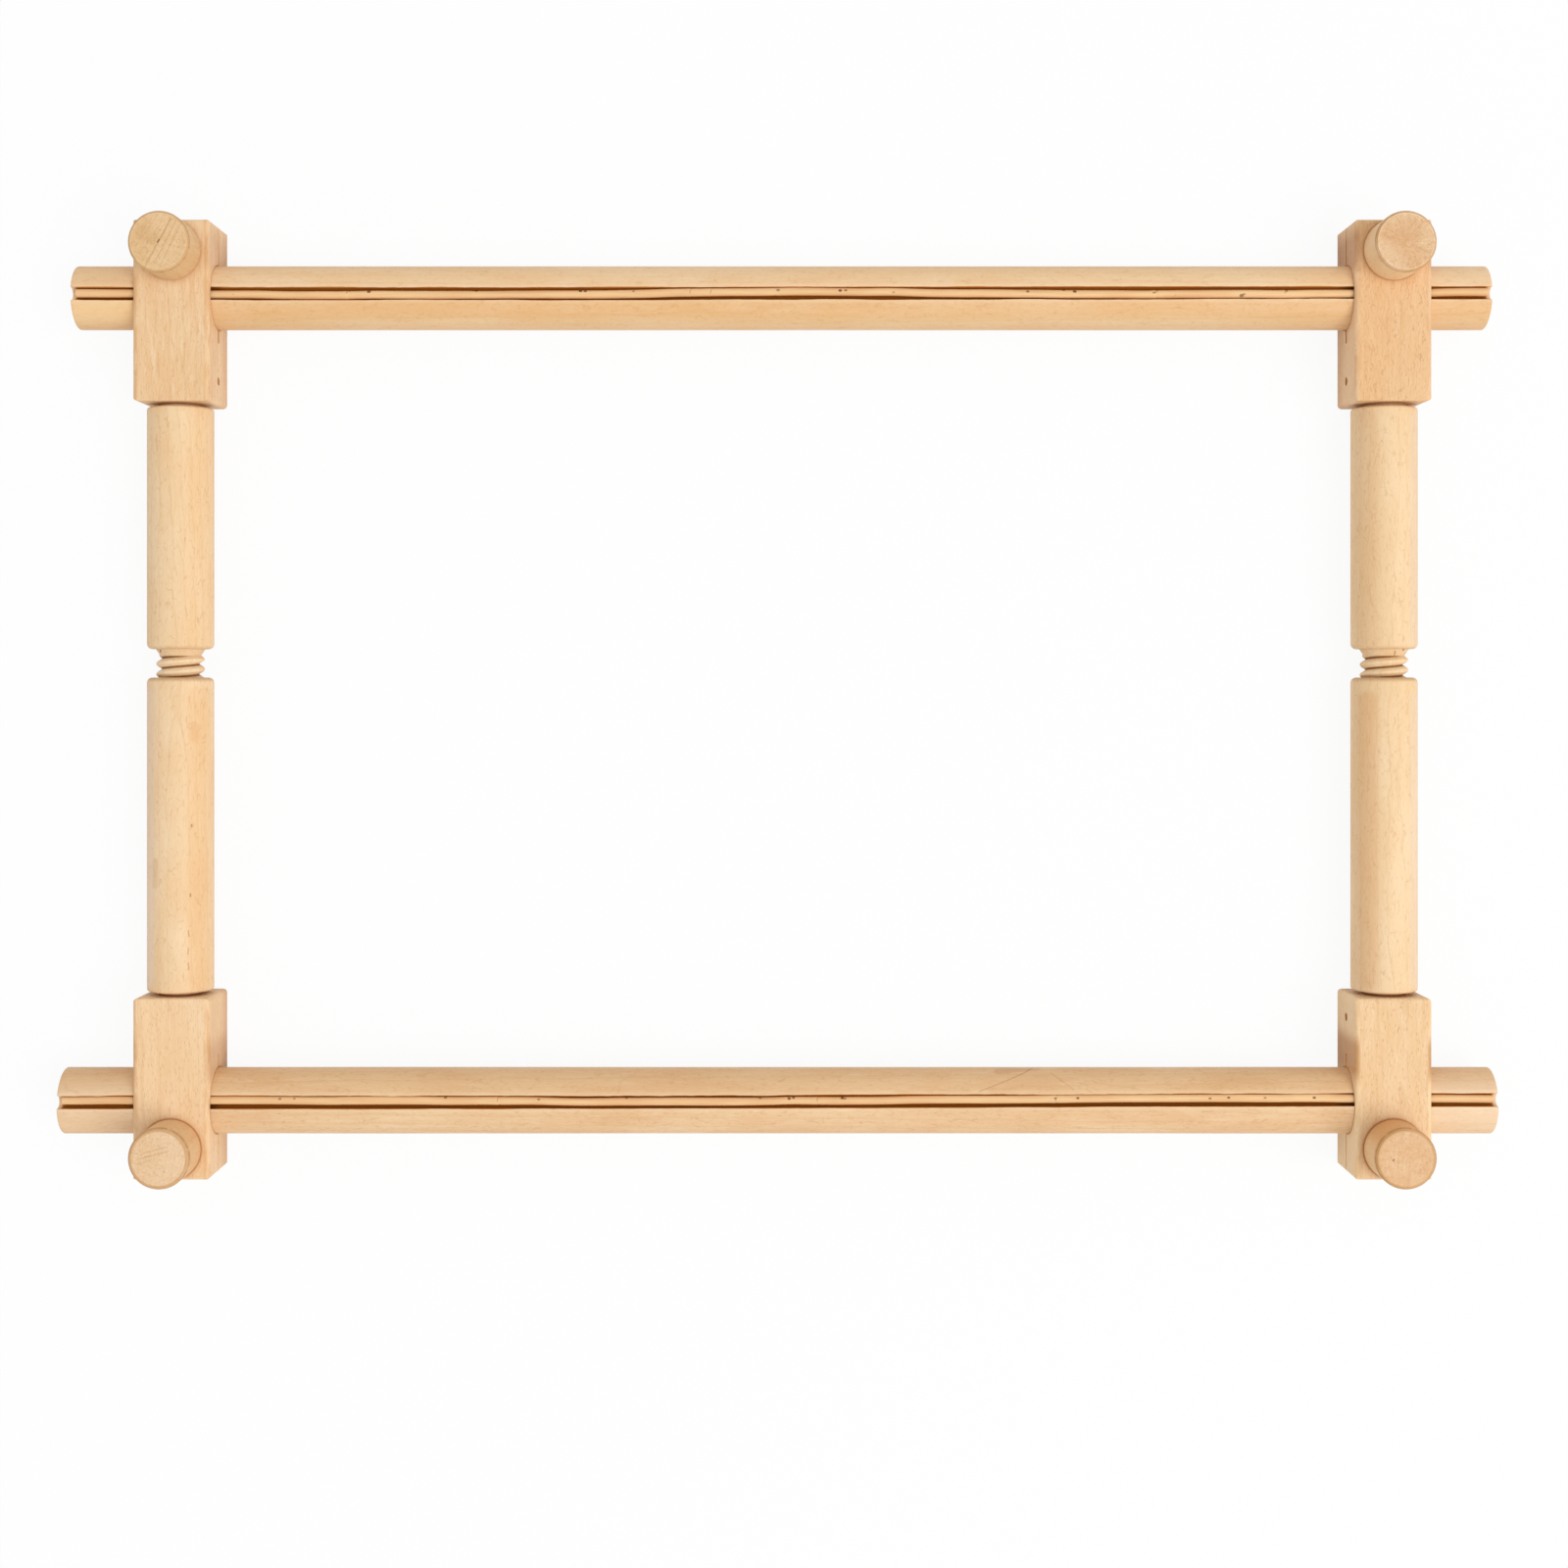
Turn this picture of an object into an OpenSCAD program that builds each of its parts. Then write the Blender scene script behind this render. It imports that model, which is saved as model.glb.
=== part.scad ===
// Hand roller frame for embroidery: two grooved bars that the fabric is rolled on, held by four split corner
// blocks with thumb screws, and two side posts in halves that a wooden screw draws apart.
// The frame lies flat: X runs along the bars, Y from the bottom bar to the top bar, and the blocks' rear faces
// lie on Z = 0. The origin is under the middle of the bottom bar's length, halfway between the bars.

/* [Bars] */
// Length of the top bar
top_bar_length = 594; // [560:1:598]
// Length of the bottom bar
bottom_bar_length = 602; // [598:1:680]
// Diameter of the top bar
top_bar_diameter = 26.8; // [24:0.1:28.2]
// Diameter of the bottom bar
bottom_bar_diameter = 27.8; // [24:0.1:28.2]
// How far the top bar's middle sits to the right of the bottom bar's middle
top_bar_shift = 1.6; // [-2:0.1:2]
// Chamfer on the bar ends
bar_end_chamfer = 0.5; // [0.2:0.1:1.5]
// How far the top bar is rolled, from the groove facing straight up to facing inwards
top_bar_turn = -1.5; // [-90:0.5:90]
// How far the bottom bar is rolled, from the groove facing straight up to facing inwards
bottom_bar_turn = 9.5; // [-90:0.5:90]

/* [Groove and cane] */
// Width of the fabric groove
groove_width = 5.4; // [4:0.1:7]
// Diameter of the cane slip that holds the fabric in the groove
cane_diameter = 3.6; // [2:0.1:4]
// How deep the cane's top lies below the bar's surface
cane_recess = 0.5; // [0.2:0.1:2]
// How far the cane ends stop short of the bar ends
cane_end_inset = 1.8; // [0.5:0.1:10]

/* [Corner blocks] */
// Width of a block, along the bar
block_width = 32; // [30:0.5:44]
// Thickness of a block, from its front face to its rear face
block_depth = 31; // [30.5:0.5:36]
// Distance from the bar's axis to the block's outer end, where the thumb screw is
block_outer = 30.4; // [29:0.2:40]
// Distance from the bar's axis to the block's inner end, where the post enters
block_inner = 45.2; // [43:0.2:60]
// Rounding of the long edges at the front
front_edge_radius = 1.8; // [0.5:0.1:3]
// Rounding of the long edges at the rear
rear_edge_radius = 0.8; // [0.3:0.1:2]
// Rounding of the inner end's corners, seen from the front
end_corner_radius = 2.1; // [0.5:0.1:4]
// Rounding of the inner end's front and rear edges
end_edge_radius = 1; // [0.3:0.1:2]
// Rounding of all edges of the outer end, where the saw cut opens
outer_end_radius = 1.4; // [0.3:0.1:3]
// Radial clearance of a bar in its bores
bar_clearance = 0.08; // [0.02:0.01:0.1]
// Width of the saw cut at its closed end
kerf_root_width = 1.8; // [1:0.1:3]
// Width of the saw cut at the block's outer end, where the screw has drawn it together
kerf_end_width = 0.8; // [0.4:0.1:1.8]
// How far the saw cut runs on past the bore, towards the post
kerf_past_bore = 5.6; // [3:0.1:6.5]

/* [Thumb screws] */
// Distance from the bar's axis to the screw's axis
screw_offset = 17.6; // [17.4:0.1:18.6]
// Diameter of the wooden knob
knob_diameter = 25.1; // [20:0.1:28]
// Length of the wooden knob
knob_length = 19; // [16:0.5:28]
// Chamfer on the knob's front edge
knob_front_chamfer = 0.9; // [0.3:0.1:2]
// Chamfer on the knob's edge against the block
knob_rear_chamfer = 0.4; // [0.2:0.1:1.5]
// Diameter of the steel stud
stud_diameter = 5; // [4:0.5:5]
// Length of stud glued into the knob
stud_in_knob = 12; // [8:0.5:14]
// Radial clearance of the stud in the knob's hole
stud_glue_gap = 0.03; // [0.01:0.01:0.05]
// Radial clearance of the stud through the jaws
stud_jaw_clearance = 0.25; // [0.2:0.05:0.3]
// Distance from the block's rear face to the stud's tip
stud_tip_height = 1.4; // [1:0.1:3]
// Outer diameter of the threaded insert in the rear jaw
insert_diameter = 8; // [7:0.1:8.4]
// Length of the threaded insert
insert_length = 8; // [6:0.1:8.5]
// How deep the insert sits below the block's rear face
insert_inset = 0.6; // [0.4:0.1:1]
// Width of the driver slot across the insert
insert_slot_width = 1.2; // [0.8:0.1:1.6]
// Depth of the driver slot
insert_slot_depth = 1.4; // [0.8:0.1:2]
// Radial clearance of the stud's thread in the insert
stud_thread_clearance = 0.05; // [0.02:0.01:0.1]

/* [Side posts] */
// Distance between the axes of the two side posts
post_spacing = 509.4; // [440:0.2:520]
// How far the posts' middle sits to the right of the bottom bar's middle
post_shift = 2; // [-4:0.1:4]
// Diameter of the posts
post_diameter = 27.6; // [26:0.1:29]
// Length of an upper half, from its shoulder to the screw
upper_post_length = 101.8; // [60:0.2:200]
// Length of a lower half, from its shoulder to the screw
lower_post_length = 132.2; // [90:0.2:220]
// Rounding of the post ends at the screw
post_end_radius = 2.3; // [1:0.1:3]
// Rounding of the post ends at the blocks
shoulder_radius = 1.2; // [0.5:0.1:2.5]
// Gap between a post's shoulder and its block
shoulder_gap = 1.5; // [0.5:0.1:3]
// Diameter of the tenon that turns in the block
tenon_diameter = 18; // [14:0.1:20]
// Length of tenon inside the block
tenon_length = 19.5; // [16:0.1:20]
// Radial clearance of the tenon in its socket
tenon_clearance = 0.08; // [0.02:0.01:0.1]
// Space left between the tenon's end and the socket's floor
tenon_end_gap = 0.8; // [0.4:0.1:1.5]
// Chamfer on the tenon's end
tenon_chamfer = 1; // [0.5:0.1:2]

/* [Retaining pins] */
// Diameter of the pin that keeps a tenon in its block
pin_diameter = 3.4; // [2:0.1:4]
// Distance from the block's inner end to the pin's axis
pin_from_end = 10; // [6:0.1:12]
// How deep the pin's head sits below the block's side face
pin_inset = 0.9; // [0.2:0.1:2]
// How far the pin reaches into the turned groove of the tenon
pin_engagement = 1.8; // [1:0.1:2.5]
// Clearance of the pin in the turned groove, at each side and at the bottom
pin_groove_clearance = 0.35; // [0.3:0.05:0.6]

/* [Wooden screws] */
// Gap between the two halves of a post
neck_gap = 12; // [4:0.2:36]
// Diameter of the screw over its crests
screw_diameter = 20; // [17:0.1:20.4]
// Depth of the thread
thread_depth = 2.4; // [1.2:0.1:2.6]
// Pitch of the thread
thread_pitch = 4.4; // [3.5:0.1:5]
// Number of turns of thread
thread_turns = 13; // [9:1:16]
// Turn of the thread about the screw's axis, which sets where its crests show at the front
thread_start = 160; // [0:5:355]
// Radial clearance between the screw's crests and the bore in the lower post
screw_clearance = 0.35; // [0.3:0.05:0.6]
// Diameter of the collar against the upper post
collar_diameter = 20.3; // [18:0.1:23]
// Diameter of the collar where it meets the thread
collar_tip_diameter = 16.4; // [15.4:0.1:19]
// Height of the collar
collar_height = 3; // [2:0.1:3.4]
// Diameter of the plain end glued into the upper post
spigot_diameter = 16; // [12:0.1:18]
// Length of the plain end glued into the upper post
spigot_length = 30; // [20:0.5:40]
// Depth of bore left free below the screw when the frame is closed right up
screw_bore_spare = 3; // [1:0.5:10]
// Chamfer on the mouth of the bore
bore_mouth_chamfer = 0.8; // [0.3:0.1:1]

/* [Hidden] */
$fn = 64;

// Directions that name a corner or a side
left = -1;
right = 1;
top = 1;
bottom = -1;

// Colours as seen on the real frame
beech = "#e6c394";
beech_post = "#ecd0a4";
cane_color = "#d9ac7c";
steel = "#9a9a98";

// How far a cutter runs past the face it opens
over = 1;

// Places worked out from the sizes above
bar_height = block_depth / 2;
groove_depth = cane_diameter + cane_recess;
bar_spacing = 2 * (block_inner + shoulder_gap) + upper_post_length + lower_post_length + neck_gap;
shoulder_y = bar_spacing / 2 - block_inner - shoulder_gap;
upper_post_end_y = shoulder_y - upper_post_length;
socket_depth = tenon_length + tenon_end_gap;
thread_length = thread_turns * thread_pitch;
screw_bore_depth = thread_length + screw_bore_spare;
screw_bore_diameter = screw_diameter + 2 * screw_clearance;
turned_groove_width = pin_diameter + 2 * pin_groove_clearance;
turned_groove_radius = tenon_diameter / 2 - pin_engagement - pin_groove_clearance;
stud_jaw_diameter = stud_diameter + 2 * stud_jaw_clearance;

// Shape of one pitch of thread, as [share of the pitch, share of the depth]: a sharp root and a rounded crest
thread_profile = [[0, 0], [0.3, 0.74], [0.5, 1], [0.7, 0.74]];
profile_count = len(thread_profile);
thread_sides = 24;

function bar_diameter(row) = row == top ? top_bar_diameter : bottom_bar_diameter;
function bar_length(row) = row == top ? top_bar_length : bottom_bar_length;
function bar_shift(row) = row == top ? top_bar_shift : 0;
function bar_turn(row) = row == top ? top_bar_turn : bottom_bar_turn;
function post_x(side) = post_shift + side * post_spacing / 2;

// Puts its children with their origin on the bar's axis at one corner, and their +Y towards the block's outer end
module at_corner(side, row) {
    translate([post_x(side), row * bar_spacing / 2, bar_height])
        mirror([0, row == bottom ? 1 : 0, 0])
            children();
}

// Puts its children on a bar's axis, with their +Z along the groove's direction
module at_bar(row) {
    translate([bar_shift(row), row * bar_spacing / 2, bar_height])
        rotate([row * bar_turn(row), 0, 0])
            children();
}

// A cylinder along X, centred
module rod_along_x(diameter, length) {
    rotate([0, 90, 0])
        cylinder(d = diameter, h = length, center = true);
}

// What is cut off a corner at the origin, which lies in the +X +Y quarter, to leave it rounded
module corner_trim(radius) {
    difference() {
        translate([-radius, -radius])
            square(radius + over);
        translate([-radius, -radius])
            circle(radius);
    }
}

// A rectangle about the origin with one radius on its two +Y corners and another on its two -Y corners
module rounded_rectangle(size_x, low_y, high_y, low_radius, high_radius) {
    difference() {
        translate([-size_x / 2, low_y])
            square([size_x, high_y - low_y]);
        for (flip = [0, 1])
            mirror([flip, 0]) {
                translate([size_x / 2, high_y])
                    corner_trim(high_radius);
                translate([size_x / 2, low_y])
                    mirror([0, 1])
                        corner_trim(low_radius);
            }
    }
}

// A roller bar, turned round and grooved along its whole length
module bar(row) {
    radius = bar_diameter(row) / 2;
    color(beech)
        at_bar(row)
            difference() {
                rotate([0, 90, 0])
                    rotate_extrude()
                        chamfered_half_section(radius, bar_length(row), bar_end_chamfer, bar_end_chamfer);
                translate([-bar_length(row) / 2 - over, 0, radius - groove_depth])
                    rotate([90, 0, 90])
                        linear_extrude(bar_length(row) + 2 * over)
                            groove_section();
            }
}

// Half section of a turned rod about the origin, with a chamfer at each end
module chamfered_half_section(radius, length, low_chamfer, high_chamfer) {
    polygon([
        [0, -length / 2],
        [radius - low_chamfer, -length / 2],
        [radius, -length / 2 + low_chamfer],
        [radius, length / 2 - high_chamfer],
        [radius - high_chamfer, length / 2],
        [0, length / 2],
    ]);
}

// Cross section of the groove, its floor at the origin: a round floor below straight sides
module groove_section() {
    translate([0, groove_width / 2])
        circle(d = groove_width);
    translate([-groove_width / 2, groove_width / 2])
        square([groove_width, groove_depth]);
}

// The cane slip, lying on the groove's floor
module cane(row) {
    color(cane_color)
        at_bar(row)
            translate([0, 0, bar_diameter(row) / 2 - groove_depth + cane_diameter / 2])
                rod_along_x(cane_diameter, bar_length(row) - 2 * cane_end_inset);
}

// A corner block: bored for the bar, sawn through from its outer end past the bore, socketed for the post
module corner_block(side, row, pin_side) {
    bore_diameter = bar_diameter(row) + 2 * bar_clearance;
    color(beech)
        at_corner(side, row)
            difference() {
                block_body();
                rod_along_x(bore_diameter, block_width + 2 * over);
                saw_cut(bore_diameter / 2);
                thumb_screw_holes();
                post_socket();
                pin_hole(pin_side);
            }
}

// The squared block with its rounded edges
module block_body() {
    intersection() {
        translate([0, block_outer, 0])
            rotate([90, 0, 0])
                linear_extrude(block_outer + block_inner)
                    rounded_rectangle(block_width, -block_depth / 2, block_depth / 2,
                                      rear_edge_radius, front_edge_radius);
        translate([0, 0, -block_depth])
            linear_extrude(2 * block_depth)
                rounded_rectangle(block_width, -block_inner, block_outer, end_corner_radius, outer_end_radius);
        translate([-block_width, 0, 0])
            rotate([90, 0, 90])
                linear_extrude(2 * block_width)
                    rotate(-90)
                        rounded_rectangle(block_depth, -block_inner, block_outer, end_edge_radius,
                                          outer_end_radius);
    }
}

// The saw cut in the middle of the block's thickness, drawn together at the outer end
module saw_cut(bore_radius) {
    root_y = -bore_radius - kerf_past_bore;
    end_y = block_outer + over;
    translate([-block_width / 2 - over, 0, 0])
        rotate([90, 0, 90])
            linear_extrude(block_width + 2 * over)
                polygon([
                    [root_y, -kerf_root_width / 2],
                    [end_y, -kerf_end_width / 2],
                    [end_y, kerf_end_width / 2],
                    [root_y, kerf_root_width / 2],
                ]);
}

// The stud's clearance hole through both jaws, and the hole for the threaded insert in the rear jaw
module thumb_screw_holes() {
    translate([0, screw_offset, -block_depth / 2]) {
        translate([0, 0, insert_inset])
            cylinder(d = stud_jaw_diameter, h = block_depth + over);
        translate([0, 0, -over])
            cylinder(d = insert_diameter, h = insert_inset + insert_length + over);
    }
}

// The blind socket for the post's tenon
module post_socket() {
    translate([0, socket_depth - block_inner, 0])
        rotate([90, 0, 0])
            cylinder(d = tenon_diameter + 2 * tenon_clearance, h = socket_depth + over);
}

// The hole for the retaining pin, from one side face into the socket
module pin_hole(pin_side) {
    translate([0, pin_from_end - block_inner, 0])
        rotate([0, pin_side * 90, 0])
            cylinder(d = pin_diameter, h = block_width / 2 + over);
}

// The pin that keeps a tenon in its block and lets it turn
module retaining_pin(side, row, pin_side) {
    tip_x = tenon_diameter / 2 - pin_engagement;
    color(steel)
        at_corner(side, row)
            translate([0, pin_from_end - block_inner, 0])
                rotate([0, pin_side * 90, 0])
                    translate([0, 0, tip_x])
                        cylinder(d = pin_diameter, h = block_width / 2 - pin_inset - tip_x);
}

// The turned wooden knob, with a blind hole for its stud
module thumb_knob(side, row) {
    color(beech_post)
        at_corner(side, row)
            translate([0, screw_offset, block_depth / 2])
                difference() {
                    translate([0, 0, knob_length / 2])
                        rotate_extrude()
                            chamfered_half_section(knob_diameter / 2, knob_length, knob_rear_chamfer,
                                                   knob_front_chamfer);
                    translate([0, 0, -over])
                        cylinder(d = stud_diameter + 2 * stud_glue_gap, h = stud_in_knob + over);
                }
}

// The steel stud, glued in the knob and screwed into the insert
module clamp_stud(side, row) {
    length = block_depth - stud_tip_height + stud_in_knob;
    chamfer = stud_diameter / 10;
    color(steel)
        at_corner(side, row)
            translate([0, screw_offset, stud_tip_height - block_depth / 2 + length / 2])
                rotate_extrude()
                    chamfered_half_section(stud_diameter / 2, length, chamfer, chamfer);
}

// The threaded insert in the rear jaw, with a slot for its driver
module threaded_insert(side, row) {
    color(steel)
        at_corner(side, row)
            translate([0, screw_offset, insert_inset - block_depth / 2])
                difference() {
                    cylinder(d = insert_diameter, h = insert_length);
                    translate([0, 0, -over])
                        cylinder(d = stud_diameter + 2 * stud_thread_clearance, h = insert_length + 2 * over);
                    translate([-insert_diameter, -insert_slot_width / 2, -over])
                        cube([2 * insert_diameter, insert_slot_width, insert_slot_depth + over]);
                }
}

// Half section of the thick part of a post half, with its shoulder at the origin and its screw end at +Y
module post_body_section(length) {
    intersection() {
        square([post_diameter / 2, length]);
        rounded_rectangle(post_diameter, 0, length, shoulder_radius, post_end_radius);
    }
}

// Half section of the tenon, which starts inside the post and runs down into the block
module tenon_section() {
    radius = tenon_diameter / 2;
    end_y = -shoulder_gap - tenon_length;
    polygon([
        [0, end_y],
        [radius - tenon_chamfer, end_y],
        [radius, end_y + tenon_chamfer],
        [radius, over],
        [0, over],
    ]);
}

// A post half, its shoulder at the origin: a turned rod with a tenon that the retaining pin's groove runs round
module post_half(length) {
    difference() {
        union() {
            rotate_extrude()
                post_body_section(length);
            rotate_extrude()
                tenon_section();
        }
        rotate_extrude()
            translate([turned_groove_radius, -shoulder_gap - pin_from_end - turned_groove_width / 2])
                square([tenon_diameter, turned_groove_width]);
    }
}

// Puts a post half at one side, with its shoulder at its block and its length towards the screw
module at_post(side, row) {
    translate([post_x(side), row * shoulder_y, bar_height])
        rotate([row * 90, 0, 0])
            children();
}

// The upper half of a side post, bored for the screw's plain end
module upper_post(side) {
    color(beech_post)
        at_post(side, top)
            difference() {
                post_half(upper_post_length);
                translate([0, 0, upper_post_length - spigot_length])
                    cylinder(d = spigot_diameter, h = spigot_length + over);
            }
}

// The lower half of a side post, bored for the screw
module lower_post(side) {
    color(beech_post)
        at_post(side, bottom)
            difference() {
                post_half(lower_post_length);
                translate([0, 0, lower_post_length - screw_bore_depth])
                    cylinder(d = screw_bore_diameter, h = screw_bore_depth + over);
                translate([0, 0, lower_post_length - bore_mouth_chamfer])
                    cylinder(d1 = screw_bore_diameter, d2 = screw_bore_diameter + 2 * bore_mouth_chamfer + over,
                             h = bore_mouth_chamfer + over / 2);
            }
}

// Height of a point of the thread above the screw's lower end. A row follows the helix once round, and in the
// first and the last turn the rows draw together, so that both ends are flat.
function helix_height(row, step) =
    let (
        turn = floor(row / profile_count),
        share = thread_profile[row % profile_count][0],
        around = step / thread_sides
    )
    turn == 0 ? thread_pitch * share * around
    : turn >= thread_turns
        ? thread_length - thread_pitch * (1 - around) * (1 - min(1, turn - thread_turns + share))
        : thread_pitch * (turn - 1 + share + around);

// Radius of a point of the thread, which fades in and out over the first and the last turn
function helix_radius(row, step) =
    let (
        turn = floor(row / profile_count),
        height = thread_profile[row % profile_count][1],
        around = step / thread_sides,
        fade = turn == 0 ? around : turn >= thread_turns ? 1 - around : 1
    )
    screw_diameter / 2 - thread_depth * (1 - height * fade);

// The threaded rod about the Z axis, from its lower end at the origin, as one closed skin along the helix
module threaded_rod() {
    last_row = (thread_turns + 1) * profile_count;
    // Index of a point: the rows of one turn end where the next turn's rows begin, and the points that fall
    // together at the start of the first turn and at the end of the last one are a single point.
    function index(row, step) =
        step == thread_sides ? index(row + profile_count, 0)
        : step == 0 && row <= profile_count ? 0
        : row >= last_row ? (step == 0 ? last_row * thread_sides : row * thread_sides + step)
        : row * thread_sides + step;
    points = [
        for (row = [0 : last_row])
            for (step = [0 : thread_sides - 1])
                let (
                    angle = 360 * step / thread_sides,
                    radius = helix_radius(row, step)
                )
                [radius * cos(angle), radius * sin(angle), helix_height(row, step)],
        [0, 0, 0],
        [0, 0, thread_length],
    ];
    foot = (last_row + 1) * thread_sides;
    head = foot + 1;
    skin = [
        for (row = [0 : last_row - 1])
            for (step = [0 : thread_sides - 1])
                let (
                    a = index(row, step),
                    b = index(row, step + 1),
                    c = index(row + 1, step + 1),
                    d = index(row + 1, step)
                )
                each [[a, c, b], [a, d, c]],
    ];
    caps = [
        for (step = [0 : thread_sides - 1])
            each [
                [foot, index(0, step), index(0, step + 1)],
                [head, index(last_row, (step + 1) % thread_sides), index(last_row, step)],
            ],
    ];
    whole = [for (face = concat(skin, caps)) if (face[0] != face[1] && face[1] != face[2] && face[2] != face[0]) face];
    polyhedron(points = points, faces = whole);
}

// The wooden screw: a plain end glued in the upper post, a tapered collar and the thread
module wooden_screw(side) {
    color(beech)
        translate([post_x(side), upper_post_end_y, bar_height])
            rotate([-90, 0, 0]) {
                cylinder(d = spigot_diameter, h = spigot_length);
                translate([0, 0, -collar_height])
                    cylinder(d1 = collar_tip_diameter, d2 = collar_diameter, h = collar_height);
                translate([0, 0, -thread_length])
                    rotate(thread_start)
                        threaded_rod();
            }
}

bar(top);  // top_bar
bar(bottom);  // bottom_bar
cane(top);  // top_cane
cane(bottom);  // bottom_cane
corner_block(left, top, right);  // top_left_block
corner_block(right, top, left);  // top_right_block
corner_block(left, bottom, left);  // bottom_left_block
corner_block(right, bottom, left);  // bottom_right_block
thumb_knob(left, top);  // top_left_knob
thumb_knob(right, top);  // top_right_knob
thumb_knob(left, bottom);  // bottom_left_knob
thumb_knob(right, bottom);  // bottom_right_knob
clamp_stud(left, top);  // top_left_stud
clamp_stud(right, top);  // top_right_stud
clamp_stud(left, bottom);  // bottom_left_stud
clamp_stud(right, bottom);  // bottom_right_stud
threaded_insert(left, top);  // top_left_insert
threaded_insert(right, top);  // top_right_insert
threaded_insert(left, bottom);  // bottom_left_insert
threaded_insert(right, bottom);  // bottom_right_insert
retaining_pin(left, top, right);  // top_left_pin
retaining_pin(right, top, left);  // top_right_pin
retaining_pin(left, bottom, left);  // bottom_left_pin
retaining_pin(right, bottom, left);  // bottom_right_pin
upper_post(left);  // left_upper_post
upper_post(right);  // right_upper_post
lower_post(left);  // left_lower_post
lower_post(right);  // right_lower_post
wooden_screw(left);  // left_screw
wooden_screw(right);  // right_screw
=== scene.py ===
"""A roller frame for embroidery, in raw sanded beech, lying flat on white paper and seen from straight above.

Two round bars hold the fabric's ends in a groove with a cane slip. Four split blocks clamp the bars with
wooden thumb screws, and a wooden screw in the middle of each side post pushes the bars apart.
"""

import bpy
import numpy as np
from mathutils import Euler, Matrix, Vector


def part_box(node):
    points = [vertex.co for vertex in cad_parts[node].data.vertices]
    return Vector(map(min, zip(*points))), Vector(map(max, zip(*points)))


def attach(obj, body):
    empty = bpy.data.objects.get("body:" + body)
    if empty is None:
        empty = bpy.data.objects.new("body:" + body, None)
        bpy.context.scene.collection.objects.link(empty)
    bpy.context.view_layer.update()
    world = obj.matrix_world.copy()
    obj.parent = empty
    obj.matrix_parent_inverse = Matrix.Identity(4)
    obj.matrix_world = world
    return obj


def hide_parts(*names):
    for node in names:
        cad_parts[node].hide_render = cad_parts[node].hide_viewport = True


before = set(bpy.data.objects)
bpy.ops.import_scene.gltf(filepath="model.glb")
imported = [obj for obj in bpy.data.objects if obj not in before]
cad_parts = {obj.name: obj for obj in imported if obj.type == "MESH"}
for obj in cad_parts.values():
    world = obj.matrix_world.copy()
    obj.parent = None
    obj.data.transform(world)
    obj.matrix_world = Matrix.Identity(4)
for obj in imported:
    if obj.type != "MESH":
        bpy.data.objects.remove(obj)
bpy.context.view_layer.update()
mm = 0.001

# Camera
# The photograph looks straight down from just under a metre, with the lens shifted so that the frame sits a
# little above the middle of the picture.
camera_data = bpy.data.cameras.new("camera")
camera_data.sensor_width = 36.0
camera_data.lens = 51.6
camera_data.shift_x = 0.0006
camera_data.shift_y = -0.0688
camera_data.clip_start = 0.05
camera_data.clip_end = 20.0
camera = bpy.data.objects.new("camera", camera_data)
camera.location = (2.3 * mm, 9.8 * mm, 967 * mm)
bpy.context.scene.collection.objects.link(camera)
bpy.context.scene.camera = camera

# Roller bars
# Two turned beech rods with a fabric groove milled along their whole length. The groove's lips are sanded by
# hand, so they run a little uneven, and the grain runs along the bar with the marks of cut rays.


def linear(code):
    """An sRGB hex colour as linear red, green, blue and alpha."""
    values = np.array([int(code[i:i + 2], 16) for i in (1, 3, 5)]) / 255
    low = values / 12.92
    high = ((values + 0.055) / 1.055) ** 2.4
    return (*np.where(values <= 0.04045, low, high).tolist(), 1.0)


def add(tree, kind, inputs, out=0, **settings):
    """Adds a node with its settings, sets or links its inputs, and returns one of its outputs."""
    node = tree.nodes.new(kind)
    for key, value in settings.items():
        setattr(node, key, value)
    for key, value in inputs.items():
        if isinstance(value, bpy.types.NodeSocket):
            tree.links.new(value, node.inputs[key])
        else:
            node.inputs[key].default_value = value
    return node.outputs[out]


def new_material(name):
    """An empty material: its node tree and its output node."""
    material = bpy.data.materials.new(name)
    material.use_nodes = True
    tree = material.node_tree
    tree.nodes.clear()
    return material, tree, tree.nodes.new("ShaderNodeOutputMaterial")


def mask(wood, *steps):
    """The product of its steps. A step is another mask, or (value, low, high), which is 0 before `low`, 1
    past `high` and smooth between; low may be the larger."""
    tree = wood["tree"]
    product = None
    for step in steps:
        if isinstance(step, tuple):
            value, low, high = step
            step = add(tree, "ShaderNodeMapRange", {"Value": value, "From Min": low, "From Max": high},
                       interpolation_type="SMOOTHSTEP")
        if product is None:
            product = step
        else:
            product = add(tree, "ShaderNodeMath", {0: product, 1: step}, operation="MULTIPLY")
    return product


# How a piece is turned so that its grain runs along Z, and the way that its grain runs
GRAIN_TURN = {"x": (0.0, -np.pi / 2, 0.0), "y": (np.pi / 2, 0.0, 0.0), "z": (0.0, 0.0, 0.0)}
GRAIN_AXIS = {"x": (1, 0, 0), "y": (0, 1, 0), "z": (0, 0, 1)}


def grain_noise(wood, size, shift, low, high, detail=2.0):
    """Smooth noise drawn out along the grain. `size` is its grain across and along in millimetres, and the
    values from low to high become 0 to 1."""
    stretch = (1 / size[0], 1 / size[0], 1 / size[1])
    place = add(wood["tree"], "ShaderNodeVectorMath", {0: wood["local"], 1: stretch}, operation="MULTIPLY")
    noise = add(wood["tree"], "ShaderNodeTexNoise", {"Vector": place, "W": wood["seed"] + shift, "Scale": 1.0,
                                                     "Detail": detail}, noise_dimensions="4D")
    return mask(wood, (noise, low, high))


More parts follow.
